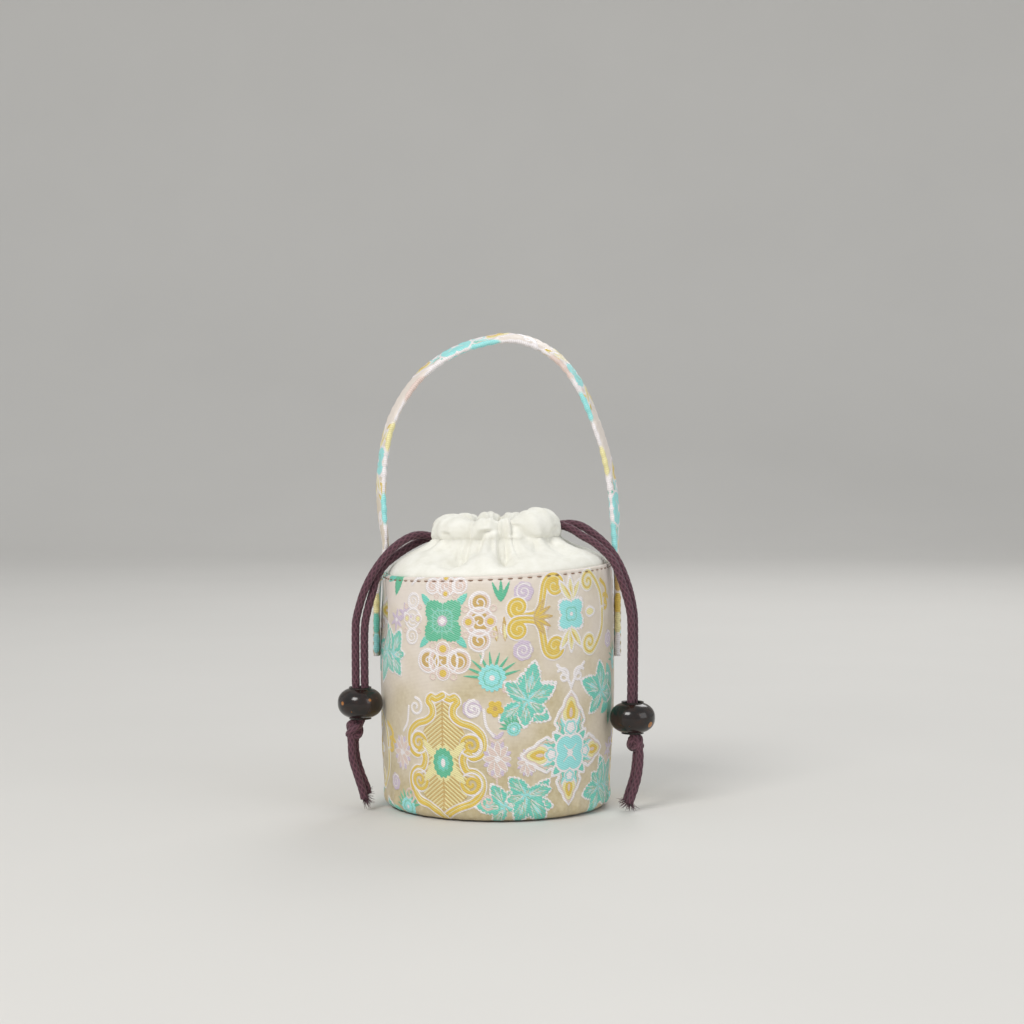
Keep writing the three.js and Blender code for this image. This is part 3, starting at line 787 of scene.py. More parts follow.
    def medallion(self) -> None:
        """Open gold medallion with scrolls, sprays of cream leaves and an aqua square flower."""
        for up in (1, -1):
            start = winding(-25.4, 4.7 * up, 4.1, 1.35, -80 * up, -up)
            end = winding(-8.6, 12.9 * up, 4.8, 1.4, 170 * up, -up)
            left = [(-20.4, 0.9 * up), (-17.4, 1.7 * up), (-15.2, 5.0 * up), (-14.3, 9.0 * up)]
            self.band([*start[::-1], *left, *end], 3.0, GOLD)
            hook = winding(11.0, 13.0 * up, 4.2, 1.3, 70 * up, up)
            line = [*hook[::-1], (17.2, 12.6 * up), (20.4, 7.4 * up), (21.2, 0.0)]
            self.band(line, 2.2, CREAM)
            self.paint((GOLD, stroke(line, 0.9)))
        for a in (-58, -29, 0, 29, 58):
            self.paint((OCHRE, leaf(-18.5, 0, *ray(a, 9.2, -18.5), 2.3)))
            self.paint((GOLD, leaf(-18.2, 0, *ray(a, 7.6, -18.5), 1.2)))
        coats = ((WHITE, 6, 11, 4.2), (CREAM, 6, 9.6, 2.6), (GOLD, 7, 7, 0.9))
        for up in (-1, 1):
            for a in (90 * up - 34, 90 * up, 90 * up + 34):
                for thread, base, reach, width in coats:
                    self.paint((thread, leaf(0, base * up, *ray(a, reach, 0, base * up), width)))
        self.paint(
            (WHITE, leaf(8.2, 0, 15.6, 0, 5.0)),
            (CREAM, leaf(9.0, 0, 14.2, 0, 3.0)),
            (WHITE, toothed_square(7.6, 7.4, 0.6)),
            (AQUA, toothed_square(6.6, 6.4, 0.6)),
            (MINT, rim_of(rosette(0, 0, 3.2, 4, 0.3, 45), 0.7)),
            (WHITE, disc(0, 0, 0.9)),
        )

    def ogee(self, angle: float, size: float) -> None:
        """Pointed ogee with a scalloped white edge, leaf fans and a yellow core, pointing away at an angle."""
        ca, sa = ray(angle, size)
        put = lambda f, s: (f * ca - s * sa, f * sa + s * ca)
        base = [(0.6, 4.6), (2.8, 6.0), (4.4, 5.4), (6.0, 6.6), (8.2, 5.6)]
        side = [*base, (9.6, 5.0), (11.6, 3.2), (13.4, 2.6), (16.2, 0)]
        fans = ((AQUA, -0.5, 1.5, 3.4, 7.2, 3.6), (MINT, 1, 1.5, 6.6, 6.6, 3.2), (AQUA, 3, 1, 9.4, 4.6, 2.6))
        core = ((WHITE, 4.2, 15.4, 8.4), (CREAM, 5, 14.6, 6.8), (GOLD, 6.2, 13.2, 4), (ROSE, 7.4, 11, 1.4))
        for hand in (1, -1):
            for thread, f0, s0, f1, s1, width in fans:
                self.paint((thread, leaf(*put(f0, s0 * hand), *put(f1, s1 * hand), width * size)))
        for thread, f0, f1, width in core:
            self.paint((thread, leaf(*put(f0, 0), *put(f1, 0), width * size)))
        for f in (1.6, 4.2):
            self.paint((WHITE, rosette(*put(f, 0), 3.2 * size, 5, 0.3, angle)))
            self.paint((AQUA, rim_of(rosette(*put(f, 0), 2.2 * size, 5, 0.3, angle), 0.8)))
        for hand in (1, -1):
            self.paint((WHITE, stroke([put(f, s * hand) for f, s in side], 1.4)))
            self.paint((ROSE, stroke([put(f * 0.94 + 0.3, s * hand * 0.78) for f, s in side], 0.6)))

    def aqua_cross(self) -> None:
        """Aqua flower of four petals with an ogee on each of its sides."""
        diagonals = (45, 135, 225, 315)
        for angle, size in ((90, 1.28), (180, 1.14), (0, 1.05), (270, 1.05)):
            self.at(*ray(angle, 5.2, rise=5.6)).ogee(angle, size)
        for a in diagonals:
            self.paint((WHITE, leaf(*ray(a, 4), *ray(a, 14), 5.6)))
            self.paint((MINT, leaf(*ray(a, 4), *ray(a, 12.4), 4.0)))
        self.paint((WHITE, rosette(0, 0, 9.4, 4, 0.3, 45)), (AQUA, rosette(0, 0, 8.4, 4, 0.32, 45)))
        for a in diagonals:
            self.paint((WHITE, stroke([(0, 0), ray(a, 5)], 0.6)))
        self.paint((WHITE, rosette(0, 0, 1.8, 6, 0.4)))
        for s in (-1, 1):
            self.at(21.5 * s, 24).spray(1.15, 90 + 40 * s)
            self.at(21.5 * s, -17).spray(1.1, 250 - 30 * s)
            self.paint((WHITE, curl(4.2 * s, 33.0, 3.6, 1.2, 90 - 50 * s, s, 1.3)))
            self.paint((WHITE, stroke([(0, 28), (2.6 * s, 33), (7.4 * s, 38)], 1.4)))

    def spray(self, size: float, turn: float = 0.0) -> None:
        """Five toothed turquoise leaves from one stalk."""
        fan = ((28, 14.5, 8.6), (90, 11.0, 7.0), (-28, 12.0, 8.0), (215, 10.0, 7.4), (275, 8.4, 6.6))
        fan = [(angle + turn, size * reach, size * width) for angle, reach, width in fan]
        for a, reach, width in fan:
            self.paint((WHITE, leaf(0, 0, *ray(a, 1.08 * reach), width + 0.6, 0.6)))
        for a, reach, width in fan:
            self.paint((MINT, leaf(0, 0, *ray(a, reach), width, 0.9)))
            self.paint((AQUA, leaf(0, 0, *ray(a, 0.72 * reach), width * 0.5, 0.6)))
            for k, thread in ((-1.4, WHITE), (-0.7, GREEN), (0, WHITE), (0.7, GREEN), (1.4, WHITE)):
                self.paint((thread, stroke([ray(a, 1.5), ray(a + 12 * k, 0.82 * reach)], 0.5, 0.4)))

    def chrysanthemum(self, r: float) -> None:
        """Aqua flower with narrow petals and spiky green leaves."""
        for a in range(15, 176, 20):
            self.paint((GREEN, leaf(0, 0, *ray(a, r * 2.1, rise=r * 1.9), 1.3)))
        self.paint((AQUA, rosette(0, 0, r, 16, 0.2)), (MINT, rim_of(rosette(0, 0, r * 0.62, 8, 0.2), 0.7)))
        self.paint((WHITE, disc(0, 0, r * 0.2)))

    def swirl(self, r: float, hand: int, thread: Thread) -> None:
        """Round bud with a coiled line."""
        self.paint((thread, rosette(0, 0, r, 7, 0.12)), (WHITE, curl(0, 0, r * 0.82, 1.7, 40, hand, 0.8)))

    def between(self) -> None:
        """Flowers and sprays that fill the stripe between two columns, from the middle of the large spray."""
        self.at(6.6, 48.8).swirl(4.6, 1, LILAC)
        self.at(6.2, 23.8).swirl(4.6, -1, LILAC)
        for a in (60, 90, 120):
            self.paint((GREEN, leaf(-3.4, 45, *ray(a, 8, -3.4, 47), 2.0, 0.2)))
        self.paint((CREAM, leaf(4, 9.5, 11.5, 15.4, 5.0)), (CREAM, leaf(6, 8.0, 13.0, 9.4, 4.0)))
        self.at(5.8, 0.5).spray(1.2)
        self.at(-7.2, 12.5).chrysanthemum(6.2)
        self.at(2.2, -9.8).chrysanthemum(3.2)
        self.paint((ROSE, rosette(-0.3, 8, 2.9, 5, 0.35)), (GOLD, rosette(-5.9, -0.8, 3.8, 5, 0.45, 18)))
        self.paint((OCHRE, disc(-5.9, -0.8, 1.0)))
        self.at(-15.9, -0.7).swirl(4.4, 1, LILAC)
        self.paint((ROSE, stroke([(-5.0, -34), (-5.4, -26), (-4.6, -18), (-5.6, -12)], 0.9)))
        for k, v in enumerate((-31, -27.5, -24, -20.5, -17, -14)):
            for side in (-1, 1):
                tip = (-5.2 + side * (4.6 - 0.3 * k), v + 3.4)
                self.paint((LILAC if k % 2 else ROSE, leaf(-5.2, v, *tip, 1.9)))
        self.at(8.5, -24.5).star(6.6)
        self.at(-1.5, -43.4).spray(0.95, 150)
        self.at(9.6, -42.6).spray(0.95, 20)
        self.paint((WHITE, stroke([(-16, 29), (-11, 24), (-12, 19)], 1.0)))
        for x, y in ((-14.5, 33.5), (15.5, 34.0), (-1.5, 33.0)):
            self.at(x, y).swirl(3.0, 1, ROSE)
        for x in (-5, -1.5, 2):
            self.paint((OCHRE, leaf(x, 28, 1.4 * x, 39, 2.4, 0.2)), (CREAM, leaf(x, 29, 1.35 * x, 36, 1.1)))

    def left_filler(self) -> None:
        """Flowers and leaves at the left end of the repeat."""
        self.at(8.2, 4.1).chrysanthemum(4.6)
        for a, thread in ((120, MINT), (165, GREEN), (215, MINT), (255, GREEN)):
            self.paint((thread, leaf(4, -9, *ray(a, 15, 4, -9), 7.0, 0.5)))
        self.paint((WHITE, stroke([(12, -18), (16.5, -14), (18, -9)], 1.2)))
        self.at(16.6, -12.2).swirl(3.8, -1, WHITE)
        for x, y in ((8.5, -31), (2.0, -34)):
            for a in range(0, 360, 60):
                self.paint((LILAC, leaf(x, y, *ray(a + 12 * x, 5.4, x, y), 1.8)))
            self.paint((WHITE, disc(x, y, 1.0)))
        self.at(-0.7, -50).spray(1.1, 90)
        self.paint((GOLD, curl(-4.9, 29.7, 4.2, 1.3, 30, 1, 1.8)))
        self.paint((GOLD, stroke([(-8, 40), (-3, 36), (-4.9, 29.7)], 1.8)))
        self.at(-2, 14).swirl(4.0, 1, LILAC)

    def lay(self, shift: float, columns: Sequence[int]) -> None:
        """Paints the repeat.

        Args:
            shift: where the first gold column's middle lies across the cloth.
            columns: which half repeats to paint; odd ones hold the medallions.
        """
        again = lambda v: v - self.repeat if v > self.repeat / 2 else v + self.repeat
        for k in columns:
            swap = k % 4 in (2, 3)
            high, low = (27.0, 88.2) if swap else (88.2, 27.0)
            if k % 2:
                first = 0 if swap else 61
                fill, rows = Figured.left_filler, (first, first + self.repeat)
                motifs = ((Figured.aqua_cross, low + 2), (Figured.medallion, high))
            else:
                first = 111.7 if swap else 50.7
                fill, rows = Figured.between, (first, first - self.repeat)
                motifs = ((Figured.square_flower, high), (Figured.gold_frame, low))
            middle = shift + self.pitch * k
            for v in rows:
                fill(self.at(middle + self.between_columns, v))
            for motif, v in motifs:
                motif(self.at(middle, v))
                motif(self.at(middle, again(v)))


class Wardrobe:
    """The finishes, made once."""

    def __init__(self) -> None:
        """Makes every material."""
        self.brocade = Brocade("figured_brocade").build()
        self.cotton = Cotton("washed_cotton", tint(244, 243, 236), tint(223, 221, 209)).build()
        self.lining = Cotton("lining_cotton", tint(236, 232, 218), tint(214, 208, 190), 0.06).build()
        self.cord = BraidedCotton("braided_cord").build()
        self.wood = LacqueredWood("lacquered_wood").build()
        self.board = PressedFibre("base_board", tint(160, 138, 104), tint(122, 100, 72)).build()
        self.felt = PressedFibre("interlining", tint(222, 218, 206), tint(198, 192, 178)).build()
        self.rim_thread = SewingThread("rim_thread", tint(150, 110, 84)).build()
        self.pale_thread = SewingThread("pale_thread", tint(232, 218, 190)).build()
        self.table = PaleTable().build()


@dataclass
class Studio:
    """Camera at the photograph's viewing angle, lamps, floor and backdrop."""

    lens: float = 78.08
    eye: Place = (0.00675, -1.0, 0.18)
    down: float = 2.758
    aim: Place = (0.0, 0.0, 0.09)
    backdrop_bend: float = 0.9

    def place_camera(self) -> None:
        """Makes the camera and hands it to the scene."""
        data = bpy.data.cameras.new("camera")
        data.lens = self.lens
        data.sensor_width = 36
        data.clip_start = 0.05
        camera = bpy.data.objects.new("camera", data)
        camera.location = self.eye
        camera.rotation_euler = (math.radians(90 - self.down), 0, 0)
        bpy.context.scene.collection.objects.link(camera)
        bpy.context.scene.camera = camera

    def lamp(self, name: str, at: Sequence[float], size: float, watts: float, colour: Colour) -> None:
        """Adds a square soft lamp that faces the pouch."""
        data = bpy.data.lights.new(name, "AREA")
        data.size, data.energy, data.color = size, watts, colour
        lamp = bpy.data.objects.new(name, data)
        lamp.location = at
        x, y, z = np.array(self.aim) - np.array(at)
        lamp.rotation_euler = (math.atan2(math.hypot(x, y), -z), 0, math.atan2(y, x) - math.pi / 2)
        bpy.context.scene.collection.objects.link(lamp)

    def build(self, wardrobe: Wardrobe) -> None:
        """Makes the lamps, the sky light, and the floor that runs up into the backdrop."""
        self.lamp("key", (-0.75, -1.15, 1.25), 0.7, 17.0, (1.0, 0.985, 0.96))
        self.lamp("fill", (1.2, -0.8, 0.6), 1.0, 4.5, (0.96, 0.98, 1.0))
        self.lamp("back", (0.4, 1.1, 1.1), 0.7, 6.0, (1.0, 1.0, 1.0))
        world = bpy.data.worlds.new("sky")
        world.use_nodes = True
        sky = next(n for n in world.node_tree.nodes if n.type == "BACKGROUND")
        sky.inputs["Color"].default_value = (0.97, 0.985, 1.0, 1)
        sky.inputs["Strength"].default_value = 0.59
        bpy.context.scene.world = world
        r, arc = self.backdrop_bend, np.linspace(0, math.pi / 2, 16)
        bend = [(1.6 + r * math.sin(t), r - r * math.cos(t)) for t in arc]
        side = [(-3.5, 0.0), (-1.0, 0.0), (0.0, 0.0), *bend, (2.5, 4.0)]
        points = np.array([(x, y, z - 0.0001) for y, z in side for x in (-4.0, 4.0)]) / MM
        faces = [[2 * k, 2 * k + 1, 2 * k + 3, 2 * k + 2] for k in range(len(side) - 1)]
        make_piece("floor", points, faces, wardrobe.table)
        bpy.context.scene.view_settings.view_transform = "Standard"


@dataclass
class BraidedRun:
    """One length of braided cord, swept along a line."""

    radius: float = 1.8
    sides: int = 24
    step: float = 0.32
    strands: int = 6
    lay_length: float = 3.8

    def frames(self, line: Array) -> tuple[Array, Array]:
        """Two directions across the line at each of its points, which turn as little as they can."""
        along = unit(np.gradient(line, axis=0))
        first = np.cross(along[0], (0.3, 1.0, 0.2))
        sides = []
        for direction in along:
            first = first - direction * np.dot(first, direction)
            first = first / np.linalg.norm(first)
            sides.append(first)
        return np.array(sides), np.cross(along, sides)

    def skin(
        self, line: Array, sides: tuple[Array, Array], run: Array, lay: float, width: Array, sharp: float
    ) -> tuple[Array, Array]:
        """Rings of the braid round a line.

        Args:
            line: the cord's middle.
            sides: two directions across it at each point.
            run: length along it at each point.
            lay: length of one turn of the braid.
            width: share of the radius at each point.
            sharp: how narrow the braid's ridges are.

        Returns:
            The grid of points and the braid's ridge at each of them.
        """
        t, s = np.meshgrid(TAU * np.arange(self.sides) / self.sides, run)
        left, right = (np.cos(self.strands * t + hand * TAU * s / lay) for hand in (1, -1))
        ridge = np.clip(np.maximum(left, right) * 0.5 + 0.5, 0, 1) ** sharp
        radius = (self.radius * (0.88 + 0.14 * ridge) * width[:, None])[..., None]
        one, two = (side[:, None] for side in sides)
        return line[:, None] + radius * (np.cos(t)[..., None] * one + np.sin(t)[..., None] * two), ridge

    def sweep(self, points: Sequence, swell: Callable[[Array], Array] | None = None) -> tuple:
        """Rings of a cord through some points.

        Args:
            points: what the cord's middle passes through, in millimetres.
            swell: share of the radius at each share of the length, or None.

        Returns:
            The grid of points, the braid's ridge at each of them, and the middle line.
        """
        length = run_of(smooth_line(points, 200))[-1]
        line = smooth_line(points, max(8, int(length / self.step)))
        share = np.linspace(0, 1, len(line))
        width = swell(share) if swell else np.ones(len(line))
        grid, ridge = self.skin(line, self.frames(line), length * share, self.lay_length, width, 1.5)
        return grid, ridge, line

    def build(self, name: str, points: Sequence, finish: Material) -> tuple[Piece, Array]:
        """Makes the cord as a closed piece, and returns it with its middle line in metres."""
        grid, ridge, line = self.sweep(points)
        piece = grid_piece(name, grid, finish, wrap_columns=True, capped=True)
        keep_values(piece, ridge=ridge)
        return piece, line * MM


def merge_grids(name: str, swept: list[tuple], finish: Material, loops: bool = False) -> Piece:
    """Makes one piece of several swept grids and their ridges. loops says that their ends meet."""
    points, faces, start = [], [], 0
    for grid, _ in swept:
        rows, columns = grid.shape[:2]
        flat = grid.reshape(-1, 3)
        part = facing_out(flat, grid_faces(rows, columns, loops, True, not loops))
        faces.extend([[start + k for k in face] for face in part])
        points.append(flat)
        start += len(flat)
    piece = make_piece(name, np.vstack(points), faces, finish)
    keep_values(piece, ridge=np.concatenate([ridge.ravel() for _, ridge in swept]))
    return piece


class Side(Enum):
    """Side of the pouch that a pair of strands hangs on."""

    LEFT = "left"
    RIGHT = "right"


@dataclass
class HangingStrand:
    """One strand from the casing over the rim, through its bead and knot to its frayed tail."""

    name: str
    tail: str
    exit: Place
    lead: Place
    path: list
    length: float

    def build(self, wardrobe: Wardrobe, extras: Sequence[Piece]) -> None:
        points = [self.lead, self.exit, *self.path]
        piece, line = BraidedRun().build(f"strand_{self.name}", points, wardrobe.cord)
        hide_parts(f"cord_{self.name}", f"tail_{self.tail}")
        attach(piece, "pouch")
        log.info("strand_%s: %.1f mm long", self.name, run_of(line)[-1] / MM)


@dataclass
class Fray:
    """Loose fibres at the end of a tail."""

    name: str
    root: Place
    aim: Place
    reach: float
    spread: float
    count: int
    seed: int
    floor: float = 0.3
    thickness: float = 0.62

    def build(self, wardrobe: Wardrobe) -> Piece:
        """Makes the tuft."""
        rng = np.random.default_rng(self.seed)
        aim = np.array(self.aim) / np.linalg.norm(self.aim)
        swept = []
        run = BraidedRun(radius=0.17, sides=4, step=0.8, strands=1)
        for _ in range(self.count):
            off = rng.normal(0, self.thickness, 3)
            off -= aim * np.dot(off, aim)
            away = off * self.spread + rng.normal(0, 0.5, 3)
            reach = self.reach * rng.uniform(0.55, 1.0)
            base = np.array(self.root) + off * 0.9 - aim * 0.8
            middle = base + aim * reach * 0.5 + away * 0.45
            tip = base + aim * reach + away * 1.3
            tip[2], middle[2] = max(tip[2], self.floor), max(middle[2], self.floor)
            grid, ridge, _ = run.sweep([base, middle, tip], lambda t: 1 - 0.7 * t)
            swept.append((grid, 0.25 + 0.6 * rng.random() + 0 * ridge))
        piece = merge_grids(self.name, swept, wardrobe.cord)
        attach(piece, "pouch")
        return piece


@dataclass
class TiedKnot:
    """Tight knot that both strands of a side share."""

    side: Side
    at: Place
    tilt: float
    size: float
    height: float
    turn: float
    reach: float = 1.95
    swing: float = 0.85
    cord: float = 1.62

    def build(self, wardrobe: Wardrobe) -> Piece:
        """Makes the knot and replaces its plain solid."""
        t = np.linspace(0, TAU, 150, endpoint=False)
        around = self.reach + self.swing * np.cos(3 * t)
        loop = np.column_stack([around * np.cos(2 * t), around * np.sin(2 * t), self.height * np.sin(3 * t)])
        (c, s), (ct, st) = ray(self.tilt, 1), ray(self.turn, 1)
        spin = np.array([[ct, -st, 0], [st, ct, 0], [0, 0, 1]])
        lean = np.array([[c, 0, s], [0, 1, 0], [-s, 0, c]])
        loop = loop * self.size @ spin.T @ lean.T + np.array(self.at)
        along = unit(np.roll(loop, -1, axis=0) - np.roll(loop, 1, axis=0))
        one = unit(np.cross(along, loop - loop.mean(0)))
        run = run_of(np.vstack([loop, loop[:1]]))
        braid = BraidedRun(radius=self.cord)
        lay = run[-1] / round(run[-1] / braid.lay_length)
        grid, ridge = braid.skin(loop, (one, np.cross(along, one)), run[:-1], lay, np.ones(len(loop)), 1.0)
        piece = merge_grids(f"tied_knot_{self.side.value}", [(grid, ridge)], wardrobe.cord, loops=True)
        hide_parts(f"knot_{self.side.value}")
        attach(piece, "pouch")
        return piece


@dataclass
class TurnedBead:
    """Flattened wooden bead with a bore, turned smooth."""

    side: Side
    at: Place
    spots: list
    radius: float = 10.0
    height: float = 14.2
    bore: float = 4.2
    fullness: float = 0.86
    sides: int = 72

    def build(self, wardrobe: Wardrobe) -> Piece:
        """Makes the bead, with its amber spots, and replaces its plain solid."""
        half = self.height / 2
        lip = [(self.bore, half - 1.0), (self.bore + 0.25, half - 0.35), (self.bore + 0.8, half - 0.02)]
        turn = np.radians(np.linspace(64, 0, 22))
        full = self.fullness
        upper = [*lip, *zip(self.radius * np.cos(turn) ** full, half * np.sin(turn) ** full)]
        lower = [(r, -h) for r, h in reversed(upper[:-1])]
        bore = [(self.bore, half * k) for k in (-0.6, -0.2, 0.2, 0.6)]
        profile = np.array([*upper, *lower, *bore])
        angle = TAU * np.arange(self.sides) / self.sides
        r, h = profile[:, 0][:, None], profile[:, 1][:, None]
        grid = np.stack([r * np.cos(angle), r * np.sin(angle), h + 0 * angle], axis=-1)
        spot = np.full(grid.shape[:2], -3.0)
        for turn_at, high, size in self.spots:
            centre = np.array([*ray(turn_at - 90, self.radius), high])
            spot = np.maximum(spot, size - np.linalg.norm(grid - centre, axis=-1))
        grid = grid + np.array(self.at)
        piece = grid_piece(f"turned_bead_{self.side.value}", grid, wardrobe.wood, True, True)
        keep_values(piece, spot=spot)
        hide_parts(f"bead_{self.side.value}")
        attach(piece, f"bead_{self.side.value}")
        log.info("turned_bead_%s", self.side.value)
        return piece


@dataclass
class Drawstrings:
    """The two drawstrings with their beads, knots and frayed tails."""

    wardrobe: Wardrobe
    apart: float = 1.975
    neck: float = 22.0
    exit_bend: float = 7.2

    def left(self) -> None:
        """Makes the strands, bead and knot on the left."""
        bead = TurnedBead(Side.LEFT, (-60.7, -18, 47.8), [(-48, 0.6, 0.9), (-20, -3.2, 0.7), (30, 2.4, 0.8)])
        knot = TiedKnot(Side.LEFT, (-63.4, -18.1, 35.8), 14, 0.95, 2.5, 20)
        tuft = Fray("fray_left", (-58.6, -20.3, 5.6), (0.45, 0.0, -0.85), 4.6, 0.9, 60, 3)
        brush = Fray("fray_left_side", (-58.2, -17.6, 7.2), (0.95, -0.25, 0.35), 4.2, 0.7, 34, 5)
        pieces = [bead.build(self.wardrobe), knot.build(self.wardrobe)]
        frays = [tuft.build(self.wardrobe), brush.build(self.wardrobe)]
        HangingStrand(
            "left_outer", "left_front", (-28.1, -2.15, 120.72), (-25.3, -2.6, 120.78),
            [(-33.6, -3.4, 121.7), (-37.6, -5.7, 121.4), (-42, -8.6, 119.4), (-47, -12, 115.6),
             (-51.4, -14.9, 110.6), (-55.4, -16.8, 104.6), (-58.8, -17.7, 97.5), (-61.2, -18, 90),
             (-62.5, -18, 84),
             (-62.68, -18, 79), (-62.68, -18, 60), (-62.68, -18, 43),
             (-63.8, -18.8, 38.2), (-64.6, -19.6, 34.0),
             (-64.4, -20.3, 29.6), (-63.9, -20.8, 23), (-61.8, -21.1, 16), (-59.6, -20.8, 9),
             (-58.8, -20.4, 5.4)],
            0.142,
        ).build(self.wardrobe, [pieces[0], pieces[1], frays[0]])
        HangingStrand(
            "left_inner", "left_back", (-28.1, 2.15, 120.72), (-25.3, 2.6, 120.78),
            [(-33, 1.5, 119.4), (-37, -1, 117.6), (-41.5, -4.4, 115.1), (-45.8, -8, 112.2),
             (-50.3, -11.4, 108.4), (-53.7, -14, 102.8), (-55.3, -15.4, 96.6), (-57, -17.1, 90.4),
             (-58.3, -17.9, 84.2),
             (-58.72, -18, 79), (-58.72, -18, 60), (-58.8, -18, 44),
             (-61.0, -17.8, 38.6), (-62.6, -17.0, 34.0),
             (-63.2, -16.2, 29.6), (-62.5, -16.6, 23), (-60.4, -17, 16), (-58.1, -16.9, 10),
             (-57.6, -16.7, 7.0)],
            0.140,
        ).build(self.wardrobe, [frays[1]])

    def right(self) -> None:
        """Makes the strands, bead and knot on the right."""
        bead = TurnedBead(Side.RIGHT, (60.3, -19, 41.4), [(52, -2.6, 1.5), (-12, -3.0, 0.6), (14, 4.6, 0.7)])
        knot = TiedKnot(Side.RIGHT, (61.6, -19.2, 30.0), -16, 0.9, 2.3, 70)
        tuft = Fray("fray_right", (58.7, -22.7, 3.6), (-0.2, 0, -0.9), 3.6, 1.3, 54, 8)
        brush = Fray("fray_right_side", (57.9, -18.7, 4.4), (-0.75, -0.1, -0.25), 5.4, 0.8, 26, 9)
        pieces = [bead.build(self.wardrobe), knot.build(self.wardrobe)]
        frays = [tuft.build(self.wardrobe), brush.build(self.wardrobe)]
        HangingStrand(
            "right_back", "right_back", (28.1, 2.15, 126.09), (25.3, 2.6, 126.02),
            [(33.2, 1.6, 126.5), (38, -0.6, 125.6), (43, -3.6, 122.6), (47.6, -7, 118.8), (51.6, -10.2, 114.2),
             (54.9, -13, 108.6), (57.4, -15.2, 102.4), (59.4, -16.6, 95.5), (60.8, -17.1, 87.5),
             (61.05, -17.15, 81), (61.05, -17.15, 57.8), (61.05, -17.15, 37),
             (61.6, -17.4, 32.4), (62.4, -17.0, 28.6),
             (62.2, -17.1, 24.4), (61.2, -17.7, 16), (59.6, -18.3, 10.6), (58.2, -18.6, 6), (57.8, -18.7, 4.2)],
            0.150,
        ).build(self.wardrobe, [pieces[0], pieces[1], frays[1]])
        HangingStrand(
            "right_front", "right_front", (28.1, -2.15, 126.09), (25.3, -2.6, 126.02),
            [(33.4, -3.4, 124.4), (38, -6, 121.6), (43, -9.4, 118.9), (47.4, -12.6, 115.4),
             (51.6, -15.8, 110.9), (54.2, -17.9, 105.2), (56.3, -19.5, 99.2), (58.1, -20.5, 93),
             (59.3, -20.85, 87),
             (59.55, -20.85, 81), (59.55, -20.85, 57.8), (59.8, -20.85, 37),
             (61.4, -21.0, 32.4), (62.9, -21.2, 28.6),
             (63.4, -21.3, 24.4), (62.6, -21.9, 16), (61, -22.4, 10), (59.4, -22.7, 5.4), (58.9, -22.8, 3.6)],
            0.148,
        ).build(self.wardrobe, [frays[0]])

    def ring(self, side: Side) -> None:
        """Makes the run of one drawstring inside the casing, as a braided piece."""
        sign = -1 if side is Side.LEFT else 1
        z = FORM.casing + sign * self.apart
        half = [ray(-90 - t, self.exit_bend, 27.66, 9.35) for t in (0, 20, 40, 58)]
        flat = [(x, -y) for x, y in half]
        flat += [ray(-turn, self.neck) for turn in range(20, 341, 20)]
        flat += half[::-1]
        settled = [(sign * x, y, z + float(FORM.lean(sign * x, z))) for x, y in flat]
        run = BraidedRun(sides=12, step=0.7)
        piece, _ = run.build(f"casing_cord_{side.value}", settled, self.wardrobe.cord)
        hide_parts(f"drawstring_{side.value}")
        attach(piece, "pouch")
        log.info("casing_cord_%s", side.value)

    def build(self) -> None:
        """Makes both sides."""
        self.left()
        self.right()
        self.ring(Side.LEFT)
        self.ring(Side.RIGHT)


STITCH = {"radius": 0.26, "sides": 6, "step": 0.4, "strands": 1}


